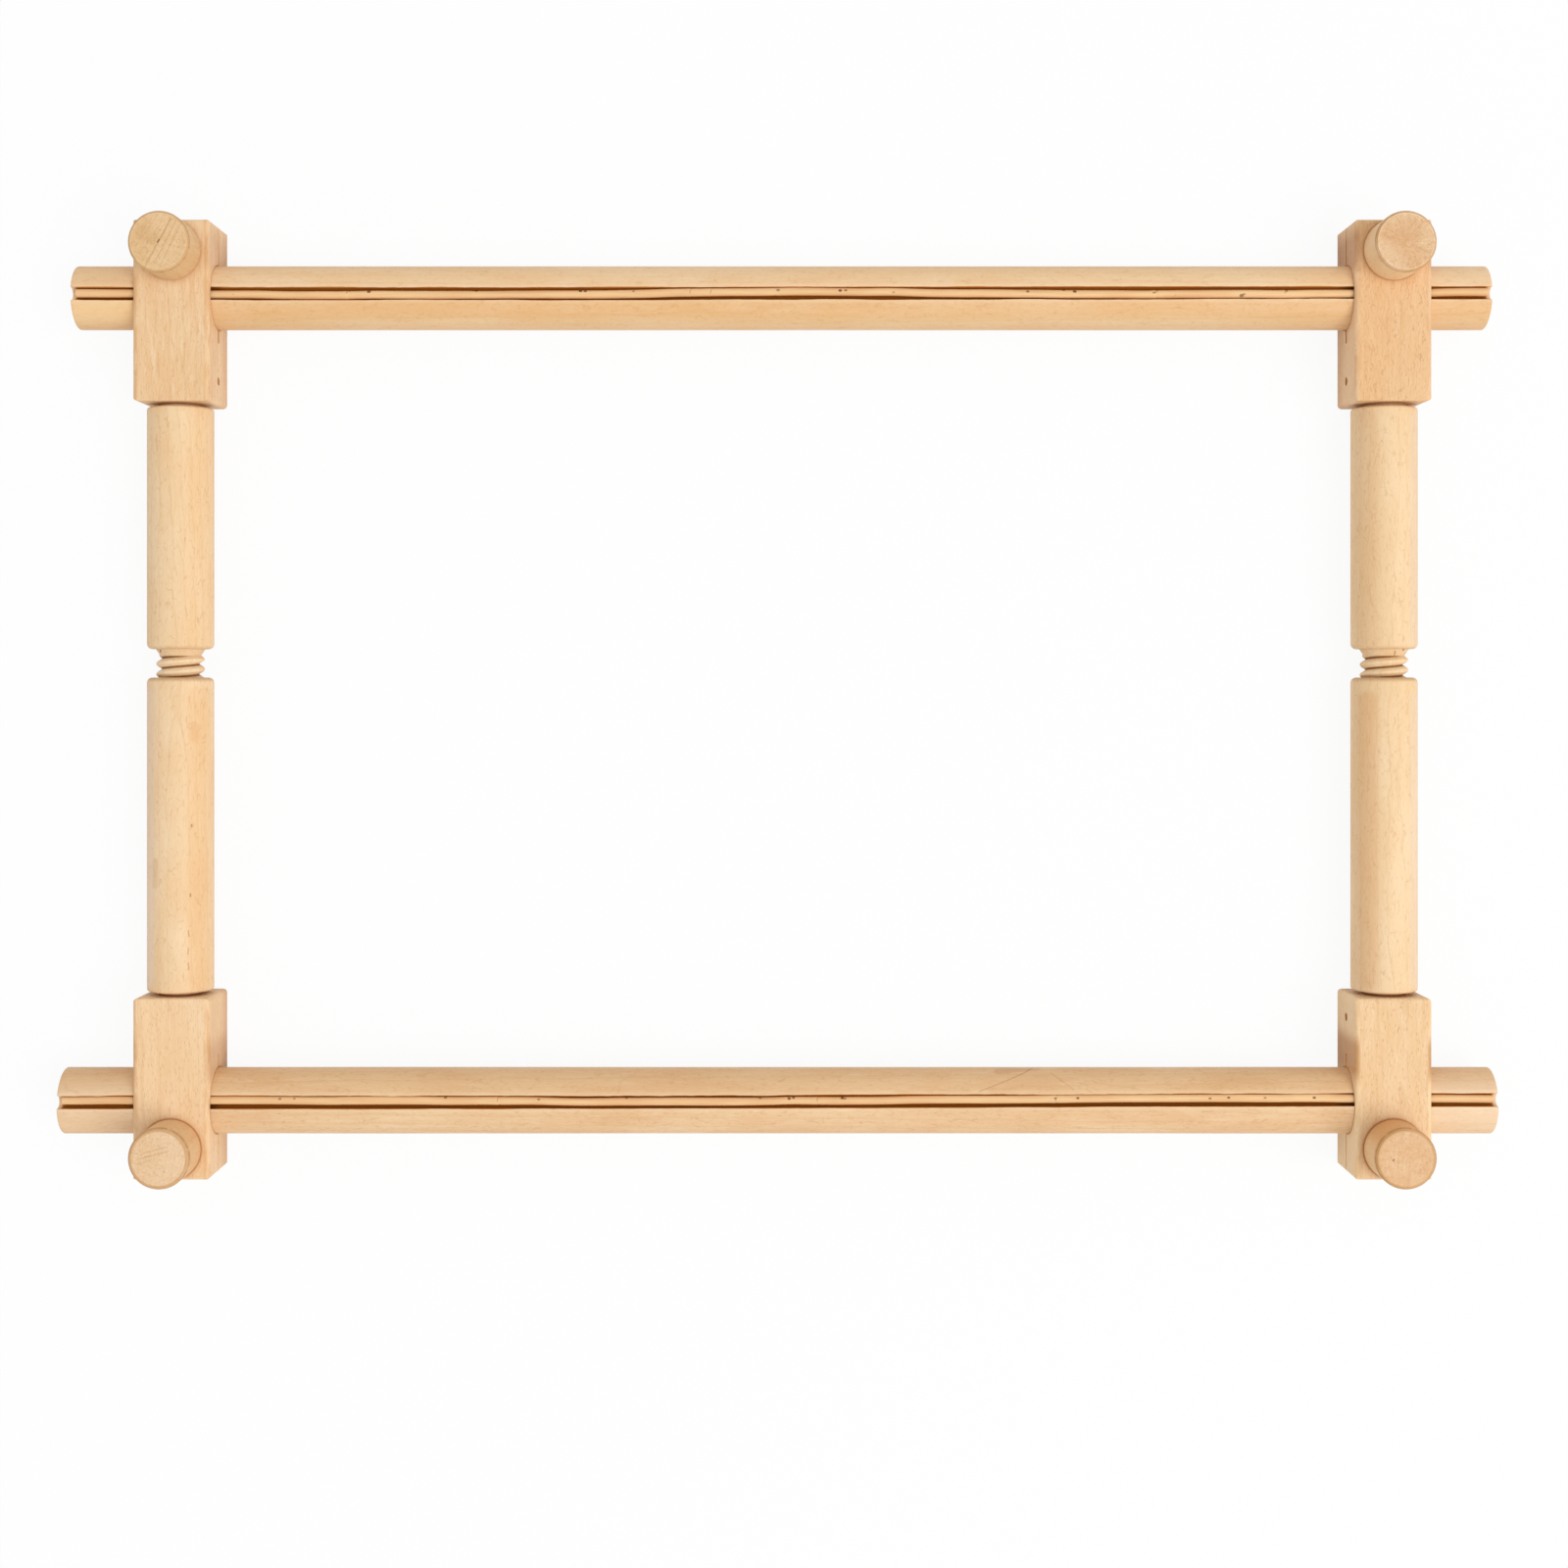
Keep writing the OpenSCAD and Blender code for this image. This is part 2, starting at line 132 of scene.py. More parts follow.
def stain(wood, code, share, *steps):
    """Mixes a colour into the wood by the given share, where the product of the mask's steps is 1."""
    part = add(wood["tree"], "ShaderNodeMath", {0: mask(wood, *steps), 1: share}, operation="MULTIPLY",
               use_clamp=True)
    wood["colour"] = add(wood["tree"], "ShaderNodeMix", {0: part, 6: wood["colour"], 7: linear(code)}, 2,
                         data_type="RGBA")


def stroke(wood, start, stop, width, code, share):
    """A short line on the side facing up, from one (x, y) place to another in the object's millimetres."""
    tree = wood["tree"]
    first = np.array([*start, 0.0])
    along = np.array([*stop, 0.0]) - first
    flat = add(tree, "ShaderNodeVectorMath", {0: wood["place"], 1: (1, 1, 0)}, operation="MULTIPLY")
    offset = add(tree, "ShaderNodeVectorMath", {0: flat, 1: tuple(first)}, operation="SUBTRACT")
    share_along = add(tree, "ShaderNodeVectorMath", {0: offset, 1: tuple(along / (along @ along))}, "Value",
                      operation="DOT_PRODUCT")
    held = add(tree, "ShaderNodeClamp", {"Value": share_along})
    nearest = add(tree, "ShaderNodeVectorMath", {0: tuple(along), "Scale": held}, operation="SCALE")
    away = add(tree, "ShaderNodeVectorMath", {0: offset, 1: nearest}, "Value", operation="DISTANCE")
    up = mask(wood, (wood["facing_up"], 0.0, 0.2))
    stain(wood, code, share, (away, width, width * 0.35), up)


def bare_stock(name, grain, centre, seed):
    """A new material for a piece with a grain, as a dictionary of its parts. Its places are in millimetres:
    `place` as in the frame, and `local` from the piece's centre with the grain along Z."""
    material, tree, output = new_material(name)
    turn = Euler(GRAIN_TURN[grain])
    middle = Vector(centre) / mm
    middle.rotate(turn)
    coordinates = tree.nodes.new("ShaderNodeTexCoord")
    normal = coordinates.outputs["Normal"]
    place = add(tree, "ShaderNodeVectorMath", {0: coordinates.outputs["Object"], "Scale": 1 / mm},
                operation="SCALE")
    local = add(tree, "ShaderNodeMapping", {"Vector": place, "Rotation": turn, "Location": -middle})
    facing_up = add(tree, "ShaderNodeVectorMath", {0: normal, 1: (0, 0, 1)}, "Value", operation="DOT_PRODUCT")
    return {"tree": tree, "material": material, "output": output, "place": place, "local": local,
            "normal": normal, "facing_up": facing_up, "seed": seed}


def beech(name, grain, centre, face, warm, seed, pith=(26, 14), lean=(0.0, 0.0), ring=3.4, sway=1.3,
          streak=0.12, dash=0.3, fleck=0.35, figure=0.22, lines=0.1, rays=0.25):
    """Steamed beech, sanded and left raw: pale pinkish tan with faint growth rings, and with the short brown
    dashes of cut rays, which the eye takes for the mark of beech. Every size is in millimetres.

    The grain runs along the local Z axis. Rings are the distance from a leaning pith beside the piece, which
    a slow noise sways. Dashes and flecks are Voronoi cells drawn out along the grain. Figure is the broken
    contour lines of a smooth noise, short arcs and hooks. Lines are fine wavy planes along the grain, broken
    up by another noise. End grain has pores, rings, and rays that run from the pith.
    """
    wood = bare_stock(name, grain, centre, seed)
    tree = wood["tree"]
    local = wood["local"]

    # Growth rings about the pith
    sway_place = add(tree, "ShaderNodeVectorMath", {0: local, 1: (1 / 9, 1 / 9, 1 / 24)},
                     operation="MULTIPLY")
    sway_noise = add(tree, "ShaderNodeTexNoise",
                     {"Vector": sway_place, "W": seed, "Scale": 1.0, "Detail": 3.0}, "Color",
                     noise_dimensions="4D")
    swayed = add(tree, "ShaderNodeVectorMath", {0: sway_noise, 1: (2 * sway, 2 * sway, 0), 2: local},
                 operation="MULTIPLY_ADD")
    along_z = add(tree, "ShaderNodeVectorMath", {0: local, 1: (0, 0, 1)}, "Value", operation="DOT_PRODUCT")
    leaning = add(tree, "ShaderNodeVectorMath", {0: (*lean, 0), "Scale": along_z}, operation="SCALE")
    from_pith = add(tree, "ShaderNodeVectorMath", {0: leaning, 1: (*pith, 0)}, operation="ADD")
    spread = add(tree, "ShaderNodeVectorMath", {0: swayed, 1: from_pith}, operation="ADD")
    across = add(tree, "ShaderNodeVectorMath", {0: spread, 1: (1, 1, 0)}, operation="MULTIPLY")
    distance = add(tree, "ShaderNodeVectorMath", {0: across}, "Value", operation="LENGTH")
    rings = add(tree, "ShaderNodeMath", {0: distance, 1: ring}, operation="DIVIDE")
    phase = add(tree, "ShaderNodeMath", {0: rings}, operation="FRACT")
    late_wood = mask(wood, (phase, 0.25, 1.0))
    ring_edge = mask(wood, (phase, 0.84, 0.95), (phase, 1.0, 0.97))

    # Clouds and faint streaks of warmer and paler wood, then the rings
    wood["colour"] = linear(face)
    stain(wood, warm, 1.0, grain_noise(wood, (14, 48), 11, 0.32, 0.68))
    stain(wood, warm, 0.25, late_wood)
    stain(wood, "#c98f57", streak, grain_noise(wood, (1.1, 14), 5, 0.50, 0.75, 3.0))
    stain(wood, "#fbe3c2", 1.6 * streak, grain_noise(wood, (1.9, 12), 8, 0.50, 0.75, 3.0))
    fibres = grain_noise(wood, (0.30, 3.2), 7, 0.42, 0.75, 3.0)
    stain(wood, "#b8834d", 0.13, fibres)
    stain(wood, "#b8834d", 0.10, ring_edge)

    # Contour lines of a noise, broken by another
    contour_noise = grain_noise(wood, (2.4, 5.5), 3, 0.0, 1.0, 1.0)
    contour = add(tree, "ShaderNodeMath", {0: contour_noise, 1: 0.5}, operation="SUBTRACT")
    contour_size = add(tree, "ShaderNodeMath", {0: contour}, operation="ABSOLUTE")
    contour_line = mask(wood, (contour_size, 0.065, 0.01))
    broken = grain_noise(wood, (2.2, 4.5), 17, 0.46, 0.62)
    stain(wood, "#b5793f", figure, contour_line, broken)

    # Fine wavy lines, 1.3 mm apart
    slanted = add(tree, "ShaderNodeVectorMath", {0: local, 1: (0.60, 0.48, 0)}, "Value",
                  operation="DOT_PRODUCT")
    wave = grain_noise(wood, (3.2, 5.0), 37, 0.25, 0.75)
    waved = add(tree, "ShaderNodeMath", {0: wave, 1: 1.5, 2: slanted}, operation="MULTIPLY_ADD")
    line_phase = add(tree, "ShaderNodeMath", {0: waved}, operation="FRACT")
    line_mask = mask(wood, (line_phase, 0.70, 0.88), (line_phase, 1.0, 0.93),
                     grain_noise(wood, (1.4, 8.0), 39, 0.38, 0.56))
    stain(wood, "#b5793f", lines, line_mask)

    # Dashes, close set and faint, then flecks, darker and few, both about 0.4 mm wide and 2 mm long: a cell's
    # size across and along the grain, the mark's reach in it, which cells show one, and its share
    ray_marks = [((0.85, 3.3), 0.34, (0.15, 0.85), dash), ((1.3, 5.2), 0.27, (0.55, 0.95), fleck)]
    shift = (seed, seed * 1.7, seed * 0.6)
    for size, reach, pick, share in ray_marks:
        stretch = (1 / size[0], 1 / size[0], 1 / size[1])
        cell_place = add(tree, "ShaderNodeVectorMath", {0: local, 1: stretch, 2: shift},
                         operation="MULTIPLY_ADD")
        cells = tree.nodes.new("ShaderNodeTexVoronoi")
        tree.links.new(cell_place, cells.inputs["Vector"])
        cells.inputs["Scale"].default_value = 1.0
        strength = mask(wood, (cells.outputs["Color"], *pick))
        fleck_mask = mask(wood, (cells.outputs["Distance"], reach, reach * 0.4), strength)
        stain(wood, "#b5793f", share, fleck_mask)

    # End grain: pores, rings and the rays, laid out by their angle about the pith
    along = add(tree, "ShaderNodeVectorMath", {0: wood["normal"], 1: GRAIN_AXIS[grain]}, "Value",
                operation="DOT_PRODUCT")
    along_size = add(tree, "ShaderNodeMath", {0: along}, operation="ABSOLUTE")
    end = mask(wood, (along_size, 0.80, 0.95))
    parts = tree.nodes.new("ShaderNodeSeparateXYZ")
    tree.links.new(across, parts.inputs[0])
    angle = add(tree, "ShaderNodeMath", {0: parts.outputs["Y"], 1: parts.outputs["X"]}, operation="ARCTAN2")
    pith_distance = max(float(np.hypot(*pith)), 9.0)
    ray_side = add(tree, "ShaderNodeMath", {0: angle, 1: pith_distance / 1.2}, operation="MULTIPLY")
    ray_out = add(tree, "ShaderNodeMath", {0: distance, 1: 1 / 22}, operation="MULTIPLY")
    ray_place = add(tree, "ShaderNodeCombineXYZ", {"X": ray_side, "Y": ray_out, "Z": seed})
    ray_noise = add(tree, "ShaderNodeTexNoise", {"Vector": ray_place, "Scale": 1.0, "Detail": 3.0})
    short_side = add(tree, "ShaderNodeMath", {0: angle, 1: pith_distance / 0.9}, operation="MULTIPLY")
    short_out = add(tree, "ShaderNodeMath", {0: distance, 1: 1 / 2.8}, operation="MULTIPLY")
    short_place = add(tree, "ShaderNodeCombineXYZ", {"X": short_side, "Y": short_out, "Z": seed})
    short_rays = add(tree, "ShaderNodeTexVoronoi", {"Vector": short_place, "Scale": 1.0}, "Distance")
    pores = add(tree, "ShaderNodeTexVoronoi", {"Vector": local, "Scale": 3.2}, "Distance")
    stain(wood, "#d7a671", 0.10, end)
    stain(wood, "#b07a45", 0.34, end, grain_noise(wood, (1.0, 60), 31, 0.52, 0.72, 3.0))
    stain(wood, "#f9e4c6", 0.16, end, grain_noise(wood, (1.6, 60), 33, 0.52, 0.72, 3.0))
    stain(wood, "#b07a45", rays, end, (ray_noise, 0.54, 0.68))
    stain(wood, "#f7dfbd", 0.8 * rays, end, (ray_noise, 0.46, 0.34))
    stain(wood, "#a5713f", 1.4 * rays, end, (short_rays, 0.30, 0.12))
    stain(wood, "#a5713f", 0.14, end, (pores, 0.22, 0.10))
    wood["raw"] = 0.0
    wood["fibres"] = fibres
    wood["flecks"] = fleck_mask
    return wood


def sanded(wood):
    """Ends a wood material: matt from fine sandpaper, the fibres just felt and the flecks a little sunk.
    Saw cuts and milled grooves stay raw and give no sheen at all."""
    tree = wood["tree"]
    sheen = add(tree, "ShaderNodeMapRange", {"Value": wood["raw"], "To Min": 0.3, "To Max": 0.0})
    height = add(tree, "ShaderNodeMath", {0: wood["fibres"], 1: wood["flecks"]}, operation="SUBTRACT")
    bump = add(tree, "ShaderNodeBump", {"Height": height, "Strength": 0.4, "Distance": 0.04 * mm})
    rough = add(tree, "ShaderNodeMapRange", {"Value": wood["fibres"], "To Min": 0.50, "To Max": 0.66})
    shader = add(tree, "ShaderNodeBsdfPrincipled", {"Base Color": wood["colour"], "Roughness": rough,
                                                    "Normal": bump, "IOR": 1.45, "Specular IOR Level": sheen})
    tree.links.new(shader, wood["output"].inputs["Surface"])
    return wood["material"]


def skin(name, rings, material):
    """One closed mesh from rows of points, an array of (rows, columns, 3).

    Each row closes on itself, each pair of rows is joined by quads, and the first and last rows are closed by
    one flat face each. Faces look outwards when the columns turn anticlockwise seen from the last row.
    """
    rows, columns, _ = rings.shape
    index = np.arange(rows * columns).reshape(rows, columns)
    beside = np.roll(index, -1, axis=1)
    quads = np.stack([index[:-1], beside[:-1], beside[1:], index[1:]], axis=-1).reshape(-1, 4)
    faces = quads.tolist() + [index[0, ::-1].tolist(), index[-1].tolist()]
    mesh = bpy.data.meshes.new(name)
    mesh.from_pydata(rings.reshape(-1, 3).tolist(), [], faces)
    mesh.polygons.foreach_set("use_smooth", [True] * len(quads) + [False, False])
    mesh.materials.append(material)
    mesh.validate()
    piece = bpy.data.objects.new(name, mesh)
    bpy.context.scene.collection.objects.link(piece)
    return piece


def ripple(along, seed, spacing, size):
    """Smooth random values along a length: knots every `spacing`, drawn from a seeded generator, joined by
    cosine steps, with the largest about `size`."""
    start = along.min() - spacing
    count = int((along.max() - start) / spacing) + 3
    knots = np.random.default_rng(seed).uniform(-size, size, count)
    position = (along - start) / spacing
    left = position.astype(int)
    share = (1 - np.cos(np.pi * (position - left))) / 2
    return knots[left] * (1 - share) + knots[left + 1] * share


GROOVE_WIDTH = 5.4 * mm
GROOVE_DEPTH = 4.1 * mm
LIP_ROUNDING = 0.25 * mm
# What sanding takes off the radius, so that the ripple of the surface stays within the bar's size
SANDED_OFF = 0.05 * mm
# The cutter wandered round the rod: the groove's turn about the bar, as (place along X in mm, degrees)
BAR_TURN = {"top": ((-90, 0.4), (175, -1.3)), "bottom": ((-75, -6.5), (195, -10.9))}


def bar_lean(row, x):
    """The groove's turn about the bar's axis at each place along it, as a column of angles in radians."""
    places, degrees = zip(*BAR_TURN[row])
    return np.radians(np.interp(x / mm, places, degrees))[:, None]


def grooved_bar(row, material, lip_seed):
    """A round rod along X whose section is a circle with a round-bottomed groove.

    Each row of points is the section at one X: round the circle from lip to lip, over a rounded lip, down
    the groove's wall, round its floor and up again. The lips move in and out a little along the bar, and the
    radius drops over the last half millimetre, which leaves a small rounded edge.
    """
    low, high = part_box(f"{row}_bar")
    radius = (high[1] - low[1]) / 2
    middle_y = (low[1] + high[1]) / 2
    middle_z = low[2] + radius
    steps = 420
    edge = 0.5 * mm
    ends = np.array([0, 0.15, 0.45, 1.0]) * edge
    inner = np.linspace(low[0] + edge, high[0] - edge, steps)[1:-1]
    x = np.concatenate([low[0] + ends, inner, (high[0] - ends)[::-1]])
    from_end = np.minimum(x - low[0], high[0] - x)
    drop = edge - np.sqrt(np.maximum(edge**2 - np.maximum(edge - from_end, 0) ** 2, 0))
    ring_radius = radius - drop - SANDED_OFF + ripple(x, lip_seed + 5, 45 * mm, 0.03 * mm)

    half = GROOVE_WIDTH / 2
    floor_middle = radius - GROOVE_DEPTH + half
    upper = half + ripple(x, lip_seed, 14 * mm, 0.20 * mm) + ripple(x, lip_seed + 1, 2.5 * mm, 0.08 * mm)
    lower = half + ripple(x, lip_seed + 2, 20 * mm, 0.18 * mm) + ripple(x, lip_seed + 3, 3 * mm, 0.05 * mm)

    def side(width, sign):
        """One wall of the groove from the floor's edge up, then the lip's rounding, as (side, height)."""
        reach = width + LIP_ROUNDING
        lip_top = np.sqrt(ring_radius**2 - reach**2)
        wall = np.linspace(0, 1, 4)[None, :]
        wall_side = half + (width - half)[:, None] * wall
        wall_height = floor_middle + (lip_top - LIP_ROUNDING - floor_middle)[:, None] * wall
        turn = np.radians([22, 45, 68])[None, :]
        lip_side = width[:, None] + LIP_ROUNDING * (1 - np.cos(turn))
        lip_height = lip_top[:, None] - LIP_ROUNDING * (1 - np.sin(turn))
        sides = sign * np.hstack([wall_side, lip_side])
        heights = np.hstack([wall_height, lip_height])
        return np.stack([sides, heights], axis=-1)

    plus = side(upper, 1)
    minus = side(lower, -1)
    start = np.arctan2(upper + LIP_ROUNDING, np.sqrt(ring_radius**2 - (upper + LIP_ROUNDING) ** 2))
    stop = 2 * np.pi - np.arctan2(lower + LIP_ROUNDING, np.sqrt(ring_radius**2 - (lower + LIP_ROUNDING) ** 2))
    share = np.linspace(0, 1, 96)[None, :]
    angle = start[:, None] + (stop - start)[:, None] * share
    arc = np.stack([ring_radius[:, None] * np.sin(angle), ring_radius[:, None] * np.cos(angle)], axis=-1)
    floor_angle = np.linspace(0, np.pi, 14)[1:-1]
    floor = np.stack([half * -np.cos(floor_angle), floor_middle - half * np.sin(floor_angle)], axis=-1)
    floor = np.repeat(floor[None], len(x), axis=0)
    section = np.concatenate([plus, arc, minus[:, ::-1], floor], axis=1)

    lean = bar_lean(row, x)
    y = middle_y + section[..., 0] * np.cos(lean) - section[..., 1] * np.sin(lean)
    z = middle_z + section[..., 0] * np.sin(lean) + section[..., 1] * np.cos(lean)
    points = np.stack([np.repeat(x[:, None], section.shape[1], axis=1), y, z], axis=-1)
    bar = skin(f"{row}_roller_bar", points[:, ::-1], material)
    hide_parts(f"{row}_bar")
    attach(bar, f"{row}_roller")
    return middle_y, middle_z, radius


def axis_distance(wood, point, keep):
    """Distance in millimetres from a line through a point, measured across the directions kept."""
    offset = add(wood["tree"], "ShaderNodeVectorMath", {0: wood["place"], 1: tuple(point)},
                 operation="SUBTRACT")
    flat = add(wood["tree"], "ShaderNodeVectorMath", {0: offset, 1: keep}, operation="MULTIPLY")
    return add(wood["tree"], "ShaderNodeVectorMath", {0: flat}, "Value", operation="LENGTH")


# Where the blocks shade the groove, in millimetres from the bar's middle
BLOCK_SHADE = (232.0, 262.0)


def bar_wood(row, seed, marks, **look):
    """The bar's beech with its own marks, a painted highlight along the groove's lips, and painted shade on
    the groove's walls and floor, which are left raw, without sheen."""
    low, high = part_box(f"{row}_bar")
    half_length = (high[0] - low[0]) / 2 / mm
    radius = (high[1] - low[1]) / 2 / mm
    centre = Vector(low) / 2 + Vector(high) / 2
    centre.z = low[2] + radius * mm
    wood = beech(f"beech_{row}_bar", "x", centre, seed=seed, **look)
    tree = wood["tree"]

    (left_x, left_turn), (right_x, right_turn) = BAR_TURN[row]
    along_x = add(tree, "ShaderNodeVectorMath", {0: wood["place"], 1: (1, 0, 0)}, "Value",
                  operation="DOT_PRODUCT")
    along_y = add(tree, "ShaderNodeVectorMath", {0: wood["place"], 1: (0, 1, 0)}, "Value",
                  operation="DOT_PRODUCT")
    groove_y = add(tree, "ShaderNodeMapRange",
                   {"Value": along_x, "From Min": left_x, "From Max": right_x,
                    "To Min": centre.y / mm - radius * np.sin(np.radians(left_turn)),
                    "To Max": centre.y / mm - radius * np.sin(np.radians(right_turn))})
    past_groove = add(tree, "ShaderNodeMath", {0: along_y, 1: groove_y}, operation="SUBTRACT")
    from_groove = add(tree, "ShaderNodeMath", {0: past_groove}, operation="ABSOLUTE")
    # A painted highlight along the groove's lips, on the parts that face up
    lip_highlight = mask(wood, (from_groove, 4.6, 3.4), (wood["facing_up"], 0.6, 0.8))
    stain(wood, "#f9e0ba", 0.22, lip_highlight)

    for mark in marks:
        stroke(wood, *mark)

    # Painted shade in the groove: its walls, its floor, and both darker where a block shades them
    from_axis = axis_distance(wood, centre / mm, (0, 1, 1))
    from_middle = axis_distance(wood, centre / mm, (1, 0, 0))
    within_ends = mask(wood, (from_middle, half_length - 0.8, half_length - 2.4))
    inside = mask(wood, (from_axis, radius - 0.2, radius - 0.8), within_ends)
    stain(wood, "#df9638", 0.9, inside)
    deep_shade = mask(wood, (from_axis, radius - 1.1, radius - 2.3), within_ends)
    stain(wood, "#8f4c0c", 0.88, deep_shade)
    shade_start, shade_stop = BLOCK_SHADE
    block_shade_mask = mask(wood, inside, (from_middle, shade_start, shade_start + 5.0),
                    (from_middle, shade_stop, shade_stop - 4.0))
    stain(wood, "#6e2c05", 0.6, block_shade_mask)
    wood["raw"] = inside
    return wood


# Tints along the bars and over their ends, and a few scratches, as (start, stop, width, colour, share)
bar_marks = {
    # The first band, along the top bar's upper side, is painted light
    "top": [((-300, 178.0), (300, 178.0), 6.0, "#fbe2ae", 0.16),
            ((-300, 157.5), (300, 157.5), 5.0, "#d9b57b", 0.3),
            ((-300, 163.5), (300, 163.5), 5.0, "#dca24c", 0.33),
            ((-300, 176.0), (-274, 176.0), 7.0, "#e3c096", 0.18),
            ((-300, 163.0), (-274, 163.0), 7.0, "#fbdcaa", 0.4)],
    # The first band, along the bottom bar's upper side, is painted shade
    "bottom": [((-300, -160.0), (300, -160.0), 7.0, "#dba568", 0.18),
               ((-300, -169.7), (-272, -169.7), 15.0, "#f7e2c6", 0.25),
               ((272, -169.7), (300, -169.7), 15.0, "#f7e2c6", 0.4),
               ((84.4, -163.7), (108.9, -155.4), 0.22, "#b07a45", 0.55),
               ((92.0, -156.8), (110.0, -155.6), 1.1, "#b47a4c", 0.3),
               ((114.8, -157.1), (123.9, -163.0), 0.2, "#b07a45", 0.35)],
}
top_wood = bar_wood("top", 2.0, bar_marks["top"], face="#eecca5", warm="#eac092", pith=(22, 9),
                    lean=(0.012, 0.004), ring=4.2, dash=0.15, fleck=0.25)
bottom_wood = bar_wood("bottom", 5.0, bar_marks["bottom"], face="#e9c69b", warm="#e2b98b", pith=(20, -12),
                       lean=(-0.01, 0.006), ring=4.6, dash=0.15, fleck=0.25)
bar_places = {"top": grooved_bar("top", sanded(top_wood), 40),
              "bottom": grooved_bar("bottom", sanded(bottom_wood), 60)}

# Cane slips
# A peeled rattan cane lies loose in each groove and traps the fabric's edge. It wanders from lip to lip,
# swells a little at its nodes, and carries the faint scars of its leaf rings and small dark pores.
CANE_RADIUS = 1.75 * mm
# The share of its room in the groove that the cane may take up as it wanders
WANDER_LIMIT = 0.92
# How far the cane lies towards the bottom of the picture from the groove's middle, as (place along X, offset)
WANDER = {
    "top": [(-300, -0.3), (-270, -0.2), (-230, 0.2), (-150, 0.5), (-90, 0.18), (-67, 0.0), (-35, -0.5),
            (15, -0.75), (50, -0.6), (80, -0.1), (130, 0.4), (195, 0.4), (262, 0.1), (276, -0.25),
            (290, -0.5), (300, -0.5)],
    "bottom": [(-300, -0.7), (-225, -0.9), (-150, -0.75), (-74, -0.2), (0, -0.2), (40, -0.35), (64, -0.65),
               (130, -0.8), (195, -0.9), (230, -0.8), (300, -0.5)],
}
# Where the cane's nodes are along X
CANE_NODES = {"top": [-180, -36.6, -28, 158, 212], "bottom": [-240, -117, 16.5, 116, 262]}


def cane(row, material, seed):
    """A thin round rod along the groove: its middle rolls on the groove's round floor as it wanders sideways,
    and its radius swells at each node and drops in a fine ring beside it."""
    middle_y, middle_z, radius = bar_places[row]
    low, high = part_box(f"{row}_cane")
    steps = 760
    edge = 0.3 * mm
    x = np.concatenate([[low[0], low[0] + edge], np.linspace(low[0] + 2 * edge, high[0] - 2 * edge, steps),
                        [high[0] - edge, high[0]]])
    keys = np.array(WANDER[row]) * mm
    offset = -np.interp(x, keys[:, 0], keys[:, 1])
    offset = offset + ripple(x, seed, 18 * mm, 0.16 * mm) + ripple(x, seed + 2, 6 * mm, 0.05 * mm)
    smooth = np.hanning(15) / np.hanning(15).sum()
    offset = np.convolve(np.pad(offset, 7, mode="edge"), smooth, mode="valid")
    size = np.full(len(x), CANE_RADIUS) * (1 + ripple(x, seed + 1, 30 * mm, 0.03))
    for node in CANE_NODES[row]:
        away = (x - node * mm) / mm
        swelling = 0.035 * np.exp(-((away / 2.2) ** 2))
        leaf_ring = 0.07 * np.exp(-(((away - 0.8) / 0.45) ** 2))
        size = size * (1 + swelling - leaf_ring)
    size[[0, -1]] -= edge
    roll = GROOVE_WIDTH / 2 - size
    offset = np.clip(offset, -WANDER_LIMIT * roll, WANDER_LIMIT * roll)
    height = radius - GROOVE_DEPTH + GROOVE_WIDTH / 2 - np.sqrt(roll**2 - offset**2)

    columns = 28
    angle = np.linspace(0, 2 * np.pi, columns, endpoint=False)[None, :]
    flat = 1 + 0.03 * np.cos(3 * angle + 2 * x[:, None] / (40 * mm))
    side = offset[:, None] + size[:, None] * flat * np.cos(angle)
    up = height[:, None] + size[:, None] * flat * np.sin(angle)
    lean = bar_lean(row, x)
    y = middle_y + side * np.cos(lean) - up * np.sin(lean)
    z = middle_z + side * np.sin(lean) + up * np.cos(lean)
    points = np.stack([np.repeat(x[:, None], columns, axis=1), y, z], axis=-1)
    slip = skin(f"{row}_cane_slip", points, material)
    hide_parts(f"{row}_cane")
    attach(slip, f"{row}_roller")


def rattan(name, seed, marks):
    """Peeled rattan: a smooth straw to light orange skin with long fibres and a soft gleam, and the marks of
    its pores and leaf rings, each given as (start, stop, width, colour, share)."""
    reed = bare_stock(name, "x", (0, 0, 0), seed)
    tree = reed["tree"]
    reed["colour"] = linear("#efc793")
    stain(reed, "#e9bb87", 1.0, grain_noise(reed, (6, 26), 2, 0.35, 0.65))
    fibres = grain_noise(reed, (0.35, 14), 5, 0.45, 0.80)
    stain(reed, "#c4905c", 0.3, fibres)
    stain(reed, "#8a5a30", 0.5, grain_noise(reed, (0.5, 1.2), 9, 0.68, 0.78))
    # Painted shade on the cane's flanks, which turn down into the groove
    shaded = mask(reed, (reed["facing_up"], 0.6, 0.1))
    stain(reed, "#dd9848", 0.8, shaded)
    for mark in marks:
        stroke(reed, *mark)
    bump = add(tree, "ShaderNodeBump", {"Height": fibres, "Strength": 0.3, "Distance": 0.05 * mm})
    sheen = add(tree, "ShaderNodeMapRange", {"Value": shaded, "To Min": 0.2, "To Max": 0.0})
    shader = add(tree, "ShaderNodeBsdfPrincipled", {"Base Color": reed["colour"], "Roughness": 0.42,
                                                    "Normal": bump, "IOR": 1.5, "Specular IOR Level": sheen})
    tree.links.new(shader, reed["output"].inputs["Surface"])
    return reed["material"]


